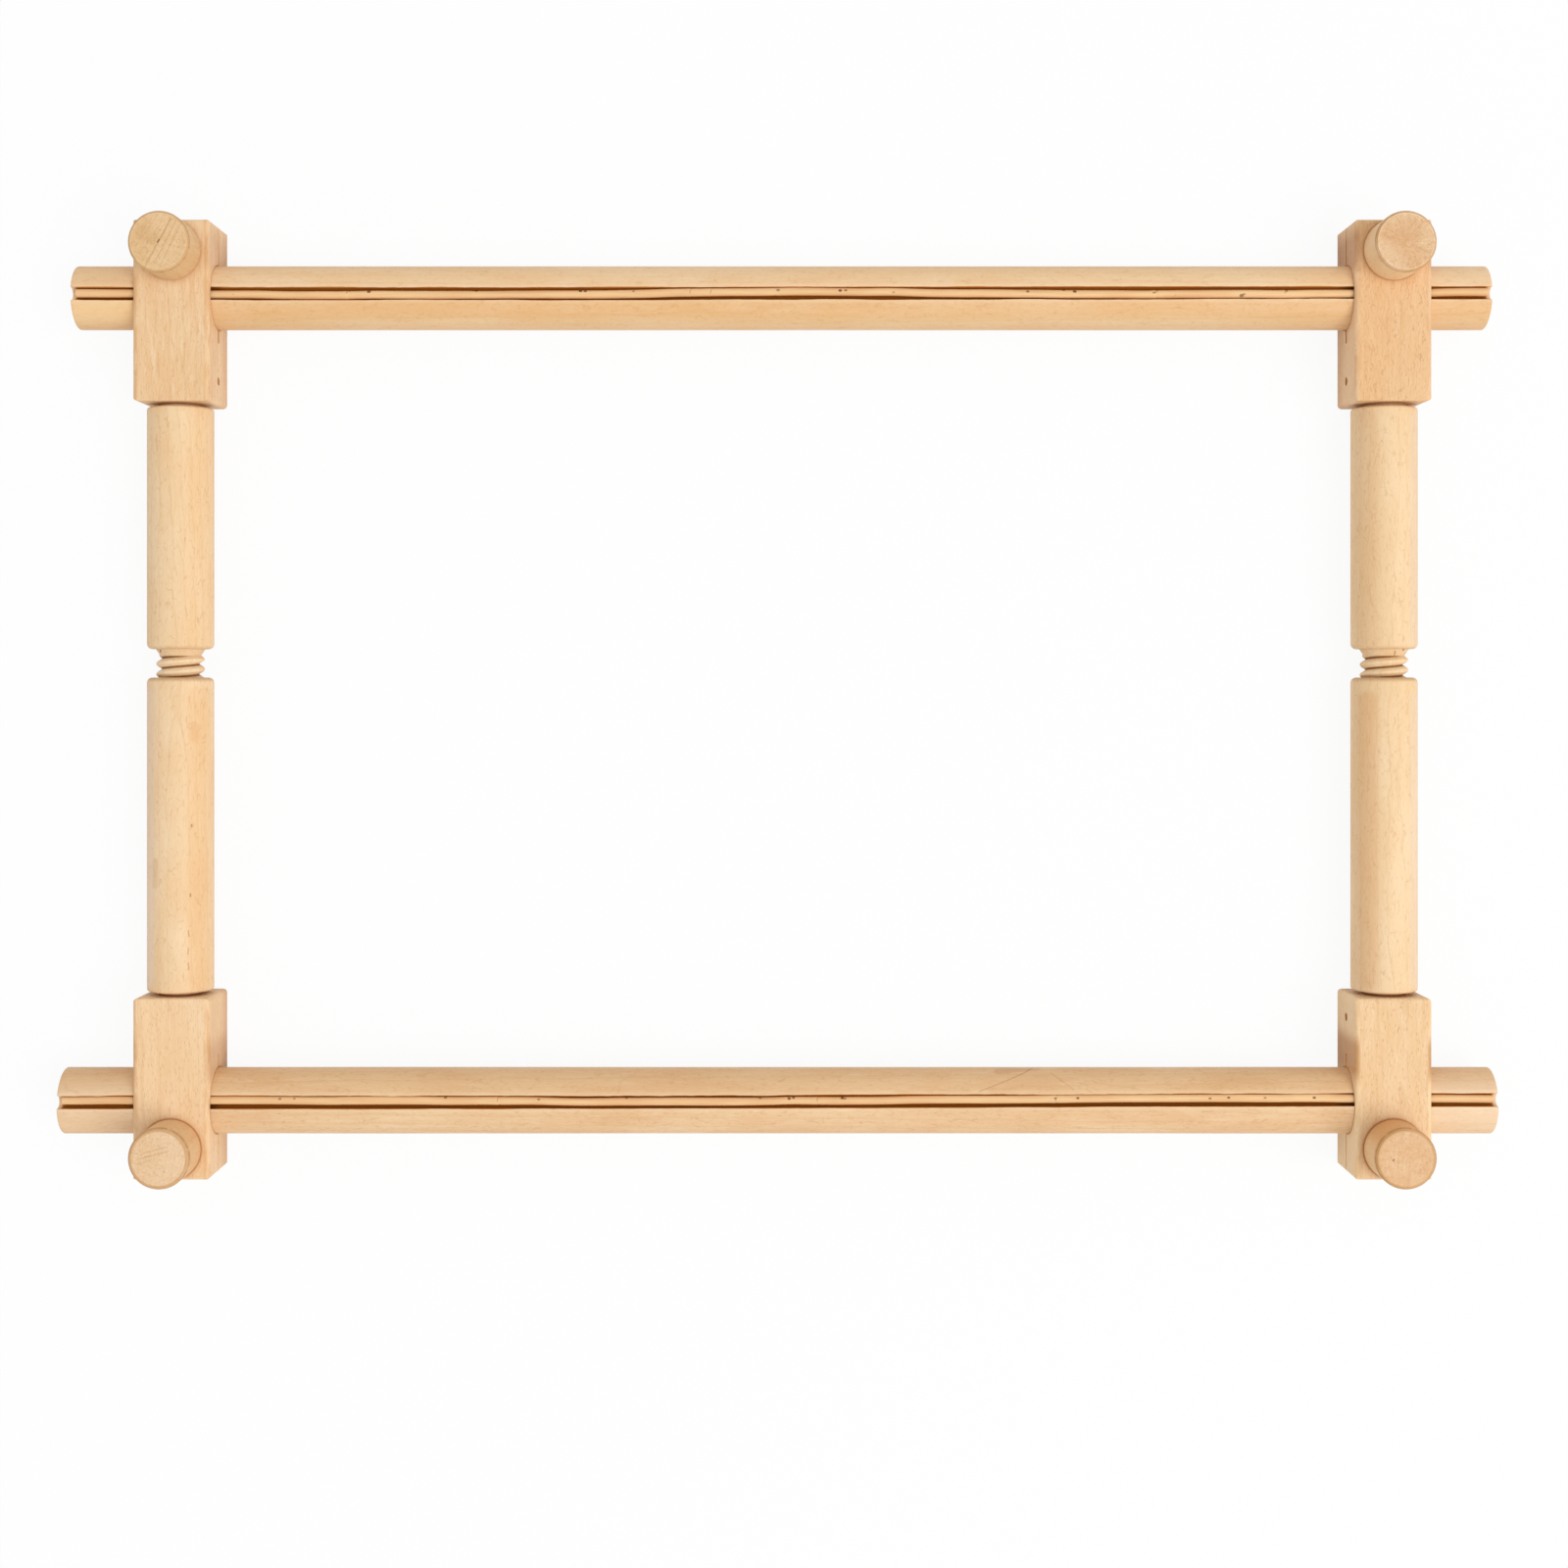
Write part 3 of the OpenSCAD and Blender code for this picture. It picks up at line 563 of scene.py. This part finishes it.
# Pores seen on the front, as (place along X, place across from the bar's axis, width, share)
CANE_PORES = {
    "top": [(-171.0, 0.7, 0.55, 0.8), (-126.2, 1.2, 0.45, 0.7), (-82.6, 1.0, 0.5, 0.85),
            (-80.6, 0.9, 0.45, 0.8), (-60.4, 0.8, 0.35, 0.5), (0.0, 1.3, 0.5, 0.6), (-1.2, -1.2, 0.4, 0.6),
            (25.9, 1.1, 0.5, 0.85), (28.2, 1.2, 0.4, 0.7), (48.2, 0.4, 0.3, 0.5), (104.3, 0.8, 0.45, 0.7),
            (119.4, 1.6, 0.45, 0.8), (123.9, 0.8, 0.55, 0.85), (157.0, 0.2, 0.35, 0.6),
            (193.6, -0.9, 0.6, 0.7), (194.6, -0.4, 0.4, 0.5), (212.4, 0.9, 0.35, 0.5)],
    "bottom": [(-208.0, 3.0, 0.4, 0.6), (-202.0, 3.1, 0.35, 0.5), (-139.0, 3.4, 0.4, 0.6),
               (-100.0, 2.7, 0.35, 0.6), (-63.3, 3.3, 0.35, 0.7), (-7.5, 3.1, 0.35, 0.5),
               (4.6, 3.0, 0.45, 0.8), (6.4, 3.3, 0.4, 0.7), (15.6, 4.1, 0.4, 0.7), (26.8, 3.2, 0.45, 0.8),
               (27.9, 3.0, 0.3, 0.6), (115.8, 3.2, 0.4, 0.7), (125.1, 3.3, 0.4, 0.8), (180.3, 3.2, 0.4, 0.7),
               (188.1, 3.5, 0.4, 0.8), (203.3, 3.4, 0.35, 0.6), (223.8, 3.5, 0.45, 0.8)],
}


def cane_marks(row):
    """Short strokes for the pores, drawn half as wide again as they are so that they show, and at each node a
    faint line half across the cane."""
    middle_y = bar_places[row][0] / mm
    marks = []
    for x, across, width, share in CANE_PORES[row]:
        y = middle_y + across
        marks.append(((x, y), (x + 0.5, y), 1.5 * width, "#5c2600", share))
    for x in CANE_NODES[row]:
        low = middle_y + (0.0 if row == "top" else 2.0)
        marks.append(((x, low), (x + 0.2, low + 1.4), 0.4, "#b07a45", 0.5))
    return marks


cane("top", rattan("rattan_top", 1.0, cane_marks("top")), 11)
cane("bottom", rattan("rattan_bottom", 6.0, cane_marks("bottom")), 21)

# Corner blocks
# Squared beech, bored for the bar and sawn through past the bore so that the thumb screw can draw the jaws
# together. The grain runs towards the post. The front edges are eased by hand and a shade darker, and a thin
# brown line of painted shade runs round each knob and along the bore's rim.


def dress(name, material):
    """Gives a CAD piece its material."""
    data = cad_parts[name].data
    data.materials.clear()
    data.materials.append(material)


def middle_of(name):
    """The middle of a CAD piece's box, in metres."""
    low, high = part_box(name)
    return [(a + b) / 2 for a, b in zip(low, high)]


# How far the saw cut runs past the bar, and the radius of the pin's hole, in millimetres
CUT_PAST_BAR = 5.7
PIN_RADIUS = 1.7
block_woods = {
    "top_left": dict(face="#f1d2a9", warm="#ebc495", seed=12.0, pith=(8, 30), lean=(0, 0.02), streak=0.3,
                     dash=0.42, fleck=0.4, figure=0.1, lines=0.22),
    "top_right": dict(face="#ebc395", warm="#e7ba87", seed=17.0, pith=(-12, 26), lean=(0.05, 0.03), sway=2.2,
                      dash=0.14, fleck=0.15, figure=0.25, lines=0.36),
    "bottom_left": dict(face="#f4d2a9", warm="#efc99a", seed=23.0, pith=(14, 24), lean=(0.02, 0), dash=0.25,
                        figure=0.1, lines=0.12),
    "bottom_right": dict(face="#efcfa5", warm="#eac494", seed=29.0, pith=(-6, 32), lean=(0, 0.01),
                         streak=0.2, dash=0.45, fleck=0.5, figure=0.06, lines=0.25),
}
# Each block's marks: a tint over the side faces, which is painted light and shade; darkening low on them;
# the bar's painted shadow beside it (its place is in millimetres up the picture from the bar's axis); the
# painted shadow line round the knob; and the painted shade in the saw cut
block_wear = {
    "top_left": dict(side_light_tint="#f0bd8c", side_light_tint_share=0.1, low_darkening=0.2, bar_shadow_share=0.2, bar_shadow_place=18.0,
                     bar_shadow_colour="#a65a1c", knob_shadow_line=0.2, cut_shade="#cf8440"),
    "top_right": dict(side_light_tint="#ffe5c4", side_light_tint_share=0.23, low_darkening=0.2, bar_shadow_share=0.45, bar_shadow_place=18.0,
                      bar_shadow_colour="#a65a1c", knob_shadow_line=0.45, cut_shade="#cf8440"),
    "bottom_left": dict(side_light_tint="#ffe5c4", side_light_tint_share=0.0, low_darkening=0.33, bar_shadow_share=0.27, bar_shadow_place=18.0,
                        bar_shadow_colour="#a65a1c", knob_shadow_line=0.75, cut_shade="#f0b878"),
    "bottom_right": dict(side_light_tint="#ffe2b4", side_light_tint_share=0.42, low_darkening=0.0, bar_shadow_share=0.62, bar_shadow_place=20.0,
                         bar_shadow_colour="#b06a1c", knob_shadow_line=0.8, cut_shade="#f0b878"),
}
for corner, look in block_woods.items():
    name = f"{corner}_block"
    wear = block_wear[corner]
    centre = middle_of(name)
    wood = beech(f"beech_{name}", "y", centre, ring=3.6, **look)
    tree = wood["tree"]
    low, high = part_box(name)
    half_width = (high[0] - low[0]) / 2 / mm
    half_height = centre[2] / mm
    front = high[2] / mm
    bar_low, bar_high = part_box(f"{corner.split('_')[0]}_bar")
    bar_y = (bar_low[1] + bar_high[1]) / 2 / mm
    bar_radius = (bar_high[1] - bar_low[1]) / 2 / mm
    knob_low, knob_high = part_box(f"{corner}_knob")
    knob_radius = (knob_high[0] - knob_low[0]) / 2 / mm

    # The front's long edges
    side_x = axis_distance(wood, Vector(centre) / mm, (1, 0, 0))
    height = axis_distance(wood, (0, 0, 0), (0, 0, 1))
    edge = mask(wood, (side_x, half_width - 3.0, half_width - 1.4), (height, front - 2.4, front - 1.4),
                grain_noise(wood, (3, 14), 21, 0.40, 0.60))
    stain(wood, "#d39a5c", 0.5, edge)

    # The side faces: a tint, painted shade on the top left's, which face the lamp, painted light on the
    # right-hand blocks', which face away; darkening towards the rear edges; and the bar's painted shadow
    side_face = mask(wood, (side_x, half_width - 2.5, half_width - 0.7))
    # Painted shade on the top left block's sides, painted light on the right-hand blocks' sides
    stain(wood, wear["side_light_tint"], wear["side_light_tint_share"], side_face)
    # The side faces darker low down, towards the paper
    stain(wood, "#a8683a", wear["low_darkening"], side_face, (height, 14.0, 1.0))
    # The bar's painted shadow on the side face, up the picture from the bar
    from_bar_shadow = axis_distance(wood, (0, bar_y + wear["bar_shadow_place"], 0), (0, 1, 0))
    bar_shadow_mask = mask(wood, side_face, (from_bar_shadow, 12.0, 4.0))
    stain(wood, wear["bar_shadow_colour"], wear["bar_shadow_share"], bar_shadow_mask)

    # Painted shade: brown lines along the bore's rim and round the knob, and a soft ring about the knob's
    # foot
    from_bar = axis_distance(wood, (0, bar_y, half_height), (0, 1, 1))
    rim_shade = mask(wood, (from_bar, bar_radius + 0.9, bar_radius + 0.2),
               (side_x, half_width - 3.0, half_width - 2.0))
    stain(wood, "#bd752f", 0.55, rim_shade)
    from_knob = axis_distance(wood, Vector(middle_of(f"{corner}_knob")) / mm, (1, 1, 0))
    front_face = mask(wood, (height, front - 0.4, front - 0.1))
    knob_shade = mask(wood, (from_knob, knob_radius + 3.5, knob_radius), front_face)
    stain(wood, "#b5793f", 0.22, knob_shade)
    knob_shadow_line = mask(wood, (from_knob, knob_radius + 1.0, knob_radius), front_face)
    stain(wood, "#b8712c", wear["knob_shadow_line"], knob_shadow_line)

    # The saw cut's walls near its closed end, coloured as painted shade so that the slot looks warm brown
    outward = 1 if bar_y > 0 else -1
    along_y = add(tree, "ShaderNodeVectorMath", {0: wood["place"], 1: (0, outward, 0)}, "Value",
                  operation="DOT_PRODUCT")
    from_cut = axis_distance(wood, (0, 0, half_height), (0, 0, 1))
    cut_end = abs(bar_y) - bar_radius - CUT_PAST_BAR
    cut = mask(wood, (from_cut, 1.0, 0.9), (along_y, cut_end - 0.1, cut_end))
    cut_shade_mask = mask(wood, cut, (along_y, cut_end + 8.0, cut_end + 5.0))
    stain(wood, wear["cut_shade"], 0.8, cut_shade_mask)

    # The pin's hole, left raw by the drill as the cut is by the saw
    pin = Vector(middle_of(f"{corner}_pin")) / mm
    from_pin = axis_distance(wood, pin, (0, 1, 1))
    pin_side = 1 if pin.x > centre[0] / mm else -1
    along_x = add(tree, "ShaderNodeVectorMath", {0: wood["place"], 1: (pin_side, 0, 0)}, "Value",
                  operation="DOT_PRODUCT")
    hole = mask(wood, (from_pin, PIN_RADIUS + 0.25, PIN_RADIUS),
                (along_x, pin_side * pin.x - 1, pin_side * pin.x))
    stain(wood, "#c07a35", 0.75, hole)
    raw = add(tree, "ShaderNodeMath", {0: cut, 1: hole}, operation="ADD", use_clamp=True)
    wood["raw"] = add(tree, "ShaderNodeMath", {0: raw, 1: rim_shade}, operation="ADD", use_clamp=True)
    dress(name, sanded(wood))

# Pins, inserts and studs
# Steel parts, hardly seen: a brown-tarnished pin deep in the block's side keeps each tenon in, and the thumb
# screw's zinc-plated stud runs in a threaded insert in the rear jaw.


def worn_steel(name, colour, dark, roughness):
    """Steel with fine turning marks and a little tarnish: a soft gleam, dull where the tarnish sits."""
    material, tree, output = new_material(name)
    place = add(tree, "ShaderNodeTexCoord", {}, "Object")
    mark_place = add(tree, "ShaderNodeVectorMath",
                     {0: place, 1: (1 / (0.9 * mm), 1 / (0.9 * mm), 1 / (0.2 * mm))}, operation="MULTIPLY")
    marks = add(tree, "ShaderNodeTexNoise", {"Vector": mark_place, "Scale": 1.0, "Detail": 3.0})
    tone = add(tree, "ShaderNodeMapRange", {"Value": marks, "From Min": 0.35, "From Max": 0.7})
    tinted = add(tree, "ShaderNodeMix", {0: tone, 6: linear(colour), 7: linear(dark)}, 2, data_type="RGBA")
    rough = add(tree, "ShaderNodeMapRange", {"Value": marks, "To Min": roughness, "To Max": roughness + 0.2})
    shader = add(tree, "ShaderNodeBsdfPrincipled",
                 {"Base Color": tinted, "Roughness": rough, "Metallic": 1.0})
    tree.links.new(shader, output.inputs["Surface"])
    return material


metals = {
    "pin": worn_steel("tarnished_steel", "#d09455", "#9a6030", 0.7),
    "insert": worn_steel("zinc_plated_insert", "#b4b0a6", "#77726a", 0.35),
    "stud": worn_steel("zinc_plated_stud", "#a9a8a4", "#6d6a66", 0.28),
}
for corner in block_woods:
    for part, metal in metals.items():
        dress(f"{corner}_{part}", metal)

# Knobs
# Short lengths of turned beech dowel, so their faces show end grain, with a small chamfer that handling has
# browned.
knob_woods = {
    "top_left": dict(face="#eac99b", warm="#e2bc8a", seed=41.0, pith=(-33, -57), ring=3.2, rays=0.15,
                     figure=0.12),
    "top_right": dict(face="#e5c299", warm="#deb486", seed=47.0, pith=(-0.3, -0.6), ring=3.0, rays=0.17,
                      figure=0.4, lines=0.25),
    "bottom_left": dict(face="#f0d3ae", warm="#e8c49b", seed=53.0, pith=(66, -14), ring=3.4, rays=0.1,
                        figure=0.12),
    "bottom_right": dict(face="#e5bf95", warm="#ddb182", seed=59.0, pith=(10, 64), ring=3.6, rays=0.14,
                         figure=0.12),
}
# Each knob: its browned chamfer's width and share; the painted highlight line inside it; the side's tone,
# painted shade on the left-hand knobs and painted light on the right-hand ones; painted shade on the side
# that faces up the picture; the browning of its upper edge; and painted shade at its foot on the block
knob_wear = {
    "top_left": dict(chamfer=1.1, chamfer_share=0.45, pale_highlight=0.2, side="#cd9248", side_light_share=0.18,
                     far_side_shade=0.0, handled=0.15, foot=0.3),
    "top_right": dict(chamfer=1.1, chamfer_share=0.45, pale_highlight=0.5, side="#ffdcab", side_light_share=0.5,
                      far_side_shade=0.0, handled=0.15, foot=0.5),
    "bottom_left": dict(chamfer=1.7, chamfer_share=0.6, pale_highlight=0.15, side="#d9993e", side_light_share=0.38,
                        far_side_shade=0.0, handled=0.5, foot=0.75),
    "bottom_right": dict(chamfer=1.6, chamfer_share=0.6, pale_highlight=0.15, side="#ffd89a", side_light_share=0.3,
                         far_side_shade=0.36, handled=0.5, foot=0.75),
}
# Tints, scratches and pin knots on the faces, as (start, stop, width, colour, share)
knob_marks = {
    # The first mark is a patch of painted shade left of the face's middle
    "top_left": [((-259.0, 190.8), (-255.0, 188.8), 4.6, "#b98a4f", 0.2),
                 ((-262.5, 178.0), (-256.0, 176.0), 3.0, "#f3d6a2", 0.2),
                 ((-252.9, 186.9), (-252.3, 187.9), 0.5, "#5d3a1c", 0.7),
                 ((-252.3, 187.9), (-247.4, 196.4), 0.4, "#a87541", 0.3),
                 ((-258.1, 176.6), (-247.3, 197.0), 0.4, "#a87541", 0.22),
                 ((-253.3, 180.2), (-245.3, 195.8), 0.4, "#a87541", 0.22),
                 ((-250.8, 179.6), (-243.3, 194.6), 0.35, "#a87541", 0.18)],
    "top_right": [((251.5, 189.5), (259.0, 191.5), 7.0, "#c98f5a", 0.2),
                  ((247.5, 184.5), (252.5, 179.0), 6.0, "#fbe3c4", 0.16),
                  ((256.4, 187.6), (256.9, 187.9), 0.7, "#b98450", 0.3)],
    "bottom_left": [((-260.8, -187.3), (-255.6, -186.0), 0.4, "#a87541", 0.25),
                    ((-259.6, -185.2), (-250.4, -182.5), 0.4, "#a87541", 0.25),
                    ((-258.0, -186.5), (-248.4, -184.1), 0.4, "#a87541", 0.25),
                    ((-261.2, -189.3), (-257.2, -188.3), 0.4, "#a87541", 0.2)],
    "bottom_right": [((251.3, -187.9), (251.5, -187.6), 0.5, "#6b4522", 0.7)],
}
for corner, look in knob_woods.items():
    name = f"{corner}_knob"
    wear = knob_wear[corner]
    centre = middle_of(name)
    wood = beech(f"beech_{name}", "z", centre, sway=0.6, **look)
    low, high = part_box(name)
    radius = (high[0] - low[0]) / 2 / mm
    foot = low[2] / mm
    face = high[2] / mm
    from_axis = axis_distance(wood, Vector(centre) / mm, (1, 1, 0))
    height = axis_distance(wood, (0, 0, 0), (0, 0, 1))
    worn = grain_noise(wood, (2.5, 40), 25, 0.30, 0.55)

    # The face: a browned chamfer, a painted shadow line at its rim, and a painted highlight line inside it
    on_face = mask(wood, (height, face - 1.3, face - 1.0))
    chamfer = radius - wear["chamfer"]
    browned_and_shaded = mask(wood, (from_axis, chamfer, chamfer + 0.4), on_face)
    stain(wood, "#bd8643", wear["chamfer_share"], browned_and_shaded)
    rim_shade = mask(wood, (from_axis, radius - 0.35, radius - 0.1), on_face, worn)
    stain(wood, "#8f5f30", 0.5, rim_shade)
    pale_highlight = mask(wood, (from_axis, radius - 1.5, radius - 1.1), (from_axis, radius - 0.8, radius - 1.0), worn,
                on_face)
    stain(wood, "#f7dfbd", wear["pale_highlight"], pale_highlight)

    # The side: its tone of painted light and shade, painted shade on the part facing up the picture, browning
    # by hands, and painted shade against the block
    on_side = mask(wood, (height, face - 0.9, face - 1.3))
    # The side's tone: painted shade on the left-hand knobs, painted light on the right-hand ones
    stain(wood, wear["side"], wear["side_light_share"], on_side)
    # Painted shade on the side facing up the picture, away from the lamp
    from_far_side = axis_distance(wood, (0, high[1] / mm, 0), (0, 1, 0))
    far_side_shade = mask(wood, on_side, (from_far_side, 9.0, 3.0))
    stain(wood, "#cc7a2a", wear["far_side_shade"], far_side_shade)
    handled = mask(wood, (height, face - 3.0, face - 1.8), worn, on_side)
    stain(wood, "#a8702c", wear["handled"], handled)
    # Painted shade at the knob's foot, in the gap against the block
    foot_shade = mask(wood, (height, foot + 0.9, foot + 0.4))
    stain(wood, "#cc8234", wear["foot"], foot_shade)
    wood["raw"] = foot_shade
    for mark in knob_marks[corner]:
        stroke(wood, *mark)
    dress(name, sanded(wood))

# Side posts
# Turned beech halves, the palest wood on the frame. Each has a tenon that turns in its block, and carries
# painted shade where its shoulder meets the block and at the end by the screw.
post_woods = {
    "left_upper": dict(face="#f1d4ab", warm="#eec99a", seed=61.0, pith=(3, 18), lean=(0.03, 0.01)),
    "left_lower": dict(face="#f2d5ad", warm="#eec99b", seed=67.0, pith=(-6, 17), lean=(0.02, 0.02)),
    "right_upper": dict(face="#f2d4ab", warm="#edcb9d", seed=73.0, pith=(4, 20), lean=(-0.04, 0.01)),
    "right_lower": dict(face="#f2d4ab", warm="#edcb9d", seed=79.0, pith=(-5, 18), lean=(0.03, 0.02)),
}
# The length of the tenon up to the turned shoulder, in millimetres
TENON_LENGTH = 19.5
# How dark the painted shade on each half is at the block and at the screw
post_end_shade = {"left_upper": (0.75, 0.12), "right_upper": (0.55, 0.12), "left_lower": (0.9, 0.4),
             "right_lower": (0.9, 0.4)}
# Tints along the edges, tool marks and pores, as (start, stop, width, colour, share)
post_marks = {
    "left_upper": [((-243.0, 100.0), (-243.0, 25.0), 5.0, "#e8b070", 0.1)],
    "right_upper": [((247.5, 118.0), (247.5, 25.0), 5.0, "#d99a5c", 0.17),
                    ((267.5, 118.0), (267.5, 25.0), 4.5, "#e3cdb9", 0.3)],
    "right_lower": [((247.5, 0.0), (247.5, -118.0), 5.0, "#d99a5c", 0.32),
                    ((267.5, 0.0), (267.5, -118.0), 4.5, "#e3cdb9", 0.3)],
    "left_lower": [((-243.0, 2.0), (-243.0, -118.0), 5.0, "#e8b070", 0.25),
                   ((-264.0, 2.0), (-264.0, -118.0), 4.5, "#efd9cd", 0.3),
                   ((-243.9, -11.5), (-243.9, -16.0), 2.4, "#e0a66a", 0.3),
                   ((-260.2, -67.9), (-260.2, -77.7), 2.2, "#c9975f", 0.28),
                   ((-245.1, -52.3), (-245.1, -53.2), 0.45, "#94602f", 0.6),
                   ((-245.5, -81.3), (-245.5, -82.3), 0.45, "#94602f", 0.6),
                   ((-246.3, -96.5), (-246.0, -99.0), 0.35, "#ac743f", 0.5),
                   ((-246.2, -104.0), (-246.4, -106.5), 0.35, "#ac743f", 0.5),
                   ((-246.3, -110.0), (-246.1, -112.9), 0.35, "#ac743f", 0.5)],
}
for half, look in post_woods.items():
    name = f"{half}_post"
    wood = beech(f"beech_{name}", "y", middle_of(name), ring=4.0, sway=2.2, streak=0.08, dash=0.07,
                 fleck=0.25, figure=0.22, **look)
    for mark in post_marks[half]:
        stroke(wood, *mark)

    low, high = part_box(name)
    length = (high[1] - low[1]) / mm
    tip_y = high[1] if half.endswith("upper") else low[1]
    from_tip = axis_distance(wood, (0, tip_y / mm, 0), (0, 1, 0))
    at_block, at_screw = post_end_shade[half]
    # Painted shade where the shoulder meets the block
    browned_and_shaded = mask(wood, (from_tip, TENON_LENGTH + 1.0, TENON_LENGTH + 0.3))
    stain(wood, "#8a4510", at_block, browned_and_shaded)
    wood["raw"] = browned_and_shaded
    # Painted shade at the end by the screw
    stain(wood, "#a8702f", at_screw, (from_tip, length - 2.0, length - 0.4))
    dress(name, sanded(wood))

# Wooden screws
# A turned and threaded beech screw, with painted shade in its thread's roots. Its plain spigot, under a
# tapered collar, is glued into the upper half of each post, and its thread turns in the lower half.
THREAD = {"pitch": 4.4 * mm, "depth": 2.4 * mm, "length": 57.2 * mm, "radius": 10.0 * mm,
          "collar": 3.0 * mm, "collar_radius": 10.15 * mm, "collar_tip": 8.2 * mm,
          "spigot": 30.0 * mm, "spigot_radius": 8.0 * mm}
# The thread's angle at its tip, in degrees
THREAD_START = 160.0


def wooden_screw(side, material):
    """A helix r(y, angle): the profile of one pitch, read at the fraction of y/pitch - angle/turn, eased out
    over the first and the last turn, then a cone and a plain spigot."""
    name = f"{side}_screw"
    low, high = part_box(name)
    middle_x = (low[0] + high[0]) / 2
    middle_z = (low[2] + high[2]) / 2
    length = THREAD["length"]
    thread_rows = np.linspace(0, length, 280)
    spigot_rows = np.array([0.001, 0.4, 0.99, 1.0]) * THREAD["spigot"] + length
    height = np.concatenate([thread_rows, spigot_rows])[:, None]
    angle = np.linspace(0, 2 * np.pi, 72, endpoint=False)[None, :]
    phase = (height / THREAD["pitch"] - (angle - np.radians(THREAD_START)) / (2 * np.pi)) % 1.0
    pitch_shares = [0, 0.06, 0.14, 0.3, 0.4, 0.5, 0.6, 0.7, 0.86, 0.94, 1]
    crest_shares = [0, 0.08, 0.38, 0.80, 0.96, 1, 0.96, 0.80, 0.38, 0.08, 0]
    profile = np.interp(phase, pitch_shares, crest_shares)
    fade = np.clip(np.minimum(height, length - height) / THREAD["pitch"], 0, 1)
    size = THREAD["radius"] - THREAD["depth"] * (1 - profile * fade)
    cone = THREAD["collar_tip"] + (THREAD["collar_radius"] - THREAD["collar_tip"]) * (
        (height - length + THREAD["collar"]) / THREAD["collar"])
    size = np.where(height > length - THREAD["collar"], np.maximum(size, cone), size)
    size = np.where(height > length, THREAD["spigot_radius"], size)
    x = middle_x + size * np.cos(angle)
    z = middle_z - size * np.sin(angle)
    y = low[1] + np.repeat(height, angle.shape[1], axis=1)
    screw = skin(f"{side}_wooden_screw", np.stack([x, y, z], axis=-1), material)
    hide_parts(name)
    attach(screw, f"{side}_upper_half")


# Pin knots on the crests, as (start, stop, width, colour, share)
screw_marks = {
    "left": [((-259.4, 20.0), (-259.3, 20.6), 0.6, "#5d3a1c", 0.7)],
    "right": [((258.9, 18.6), (258.9, 20.2), 0.4, "#6b4522", 0.6),
              ((262.6, 20.8), (262.9, 21.2), 0.6, "#5d3a1c", 0.7),
              ((245.6, 19.8), (245.5, 20.4), 0.5, "#6b4522", 0.6)],
}
for side, seed in (("left", 83.0), ("right", 89.0)):
    name = f"{side}_screw"
    centre = middle_of(name)
    wood = beech(f"beech_{name}", "y", centre, "#f8e0bc", "#f2d2a6", seed, pith=(3, 2), ring=3.0, dash=0.1)
    low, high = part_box(name)
    collar_half = THREAD["collar"] / 2 / mm
    collar_y = (low[1] + THREAD["length"]) / mm - collar_half
    from_collar = axis_distance(wood, (0, collar_y, 0), (0, 1, 0))
    stain(wood, "#d0a066", 0.3, (from_collar, collar_half + 0.3, collar_half - 0.1))
    from_axis = axis_distance(wood, Vector(centre) / mm, (1, 0, 1))
    root = (THREAD["radius"] - THREAD["depth"]) / mm
    # Painted shade in the thread's roots
    stain(wood, "#8a5210", 0.9, (from_axis, root + 0.9, root + 0.2))
    for mark in screw_marks[side]:
        stroke(wood, *mark)
    wooden_screw(side, sanded(wood))

# Floor and light
# White paper under a light tent: even light from all round, with a broad soft lamp to the lower right. The
# paper is matt, and to the camera it glows an almost even white that keeps a trace of the shadows.
floor_size = 6.0
floor_mesh = bpy.data.meshes.new("floor")
half = floor_size / 2
floor_corners = [(-half, -half, 0), (half, -half, 0), (half, half, 0), (-half, half, 0)]
floor_mesh.from_pydata(floor_corners, [], [(0, 1, 2, 3)])
floor = bpy.data.objects.new("floor", floor_mesh)
bpy.context.scene.collection.objects.link(floor)
paper, tree, output = new_material("white_paper")
path = tree.nodes.new("ShaderNodeLightPath")
seen = add(tree, "ShaderNodeMath", {0: path.outputs["Is Camera Ray"], 1: path.outputs["Is Glossy Ray"]},
           operation="ADD", use_clamp=True)
glow_share = add(tree, "ShaderNodeMath", {0: seen, 1: 0.92}, operation="MULTIPLY")
matt = add(tree, "ShaderNodeBsdfDiffuse", {"Color": linear("#efefef")})
glow = add(tree, "ShaderNodeEmission", {"Color": linear("#ffffff"), "Strength": 1.0})
both = add(tree, "ShaderNodeMixShader", {0: glow_share, 1: matt, 2: glow})
tree.links.new(both, output.inputs["Surface"])
floor_mesh.materials.append(paper)

world = bpy.data.worlds.new("light_tent")
bpy.context.scene.world = world
world.use_nodes = True
world.node_tree.nodes.clear()
world_path = world.node_tree.nodes.new("ShaderNodeLightPath")
sky = add(world.node_tree, "ShaderNodeBackground", {"Color": linear("#ffffff"), "Strength": 0.73})
backdrop = add(world.node_tree, "ShaderNodeBackground", {"Color": linear("#ffffff"), "Strength": 1.0})
world_shader = add(world.node_tree, "ShaderNodeMixShader",
                   {0: world_path.outputs["Is Camera Ray"], 1: sky, 2: backdrop})
world_output = world.node_tree.nodes.new("ShaderNodeOutputWorld")
world.node_tree.links.new(world_shader, world_output.inputs["Surface"])

lamp = bpy.data.lights.new("key_lamp", "AREA")
lamp.shape = "SQUARE"
lamp.size = 2.05
lamp.energy = 48.0
lamp_holder = bpy.data.objects.new("key_lamp", lamp)
lamp_place = Vector((1.6, -0.7, 2.7))
lamp_holder.location = lamp_place
lamp_holder.rotation_euler = (-lamp_place).to_track_quat("-Z", "Y").to_euler()
bpy.context.scene.collection.objects.link(lamp_holder)

bpy.context.scene.view_settings.view_transform = "Standard"
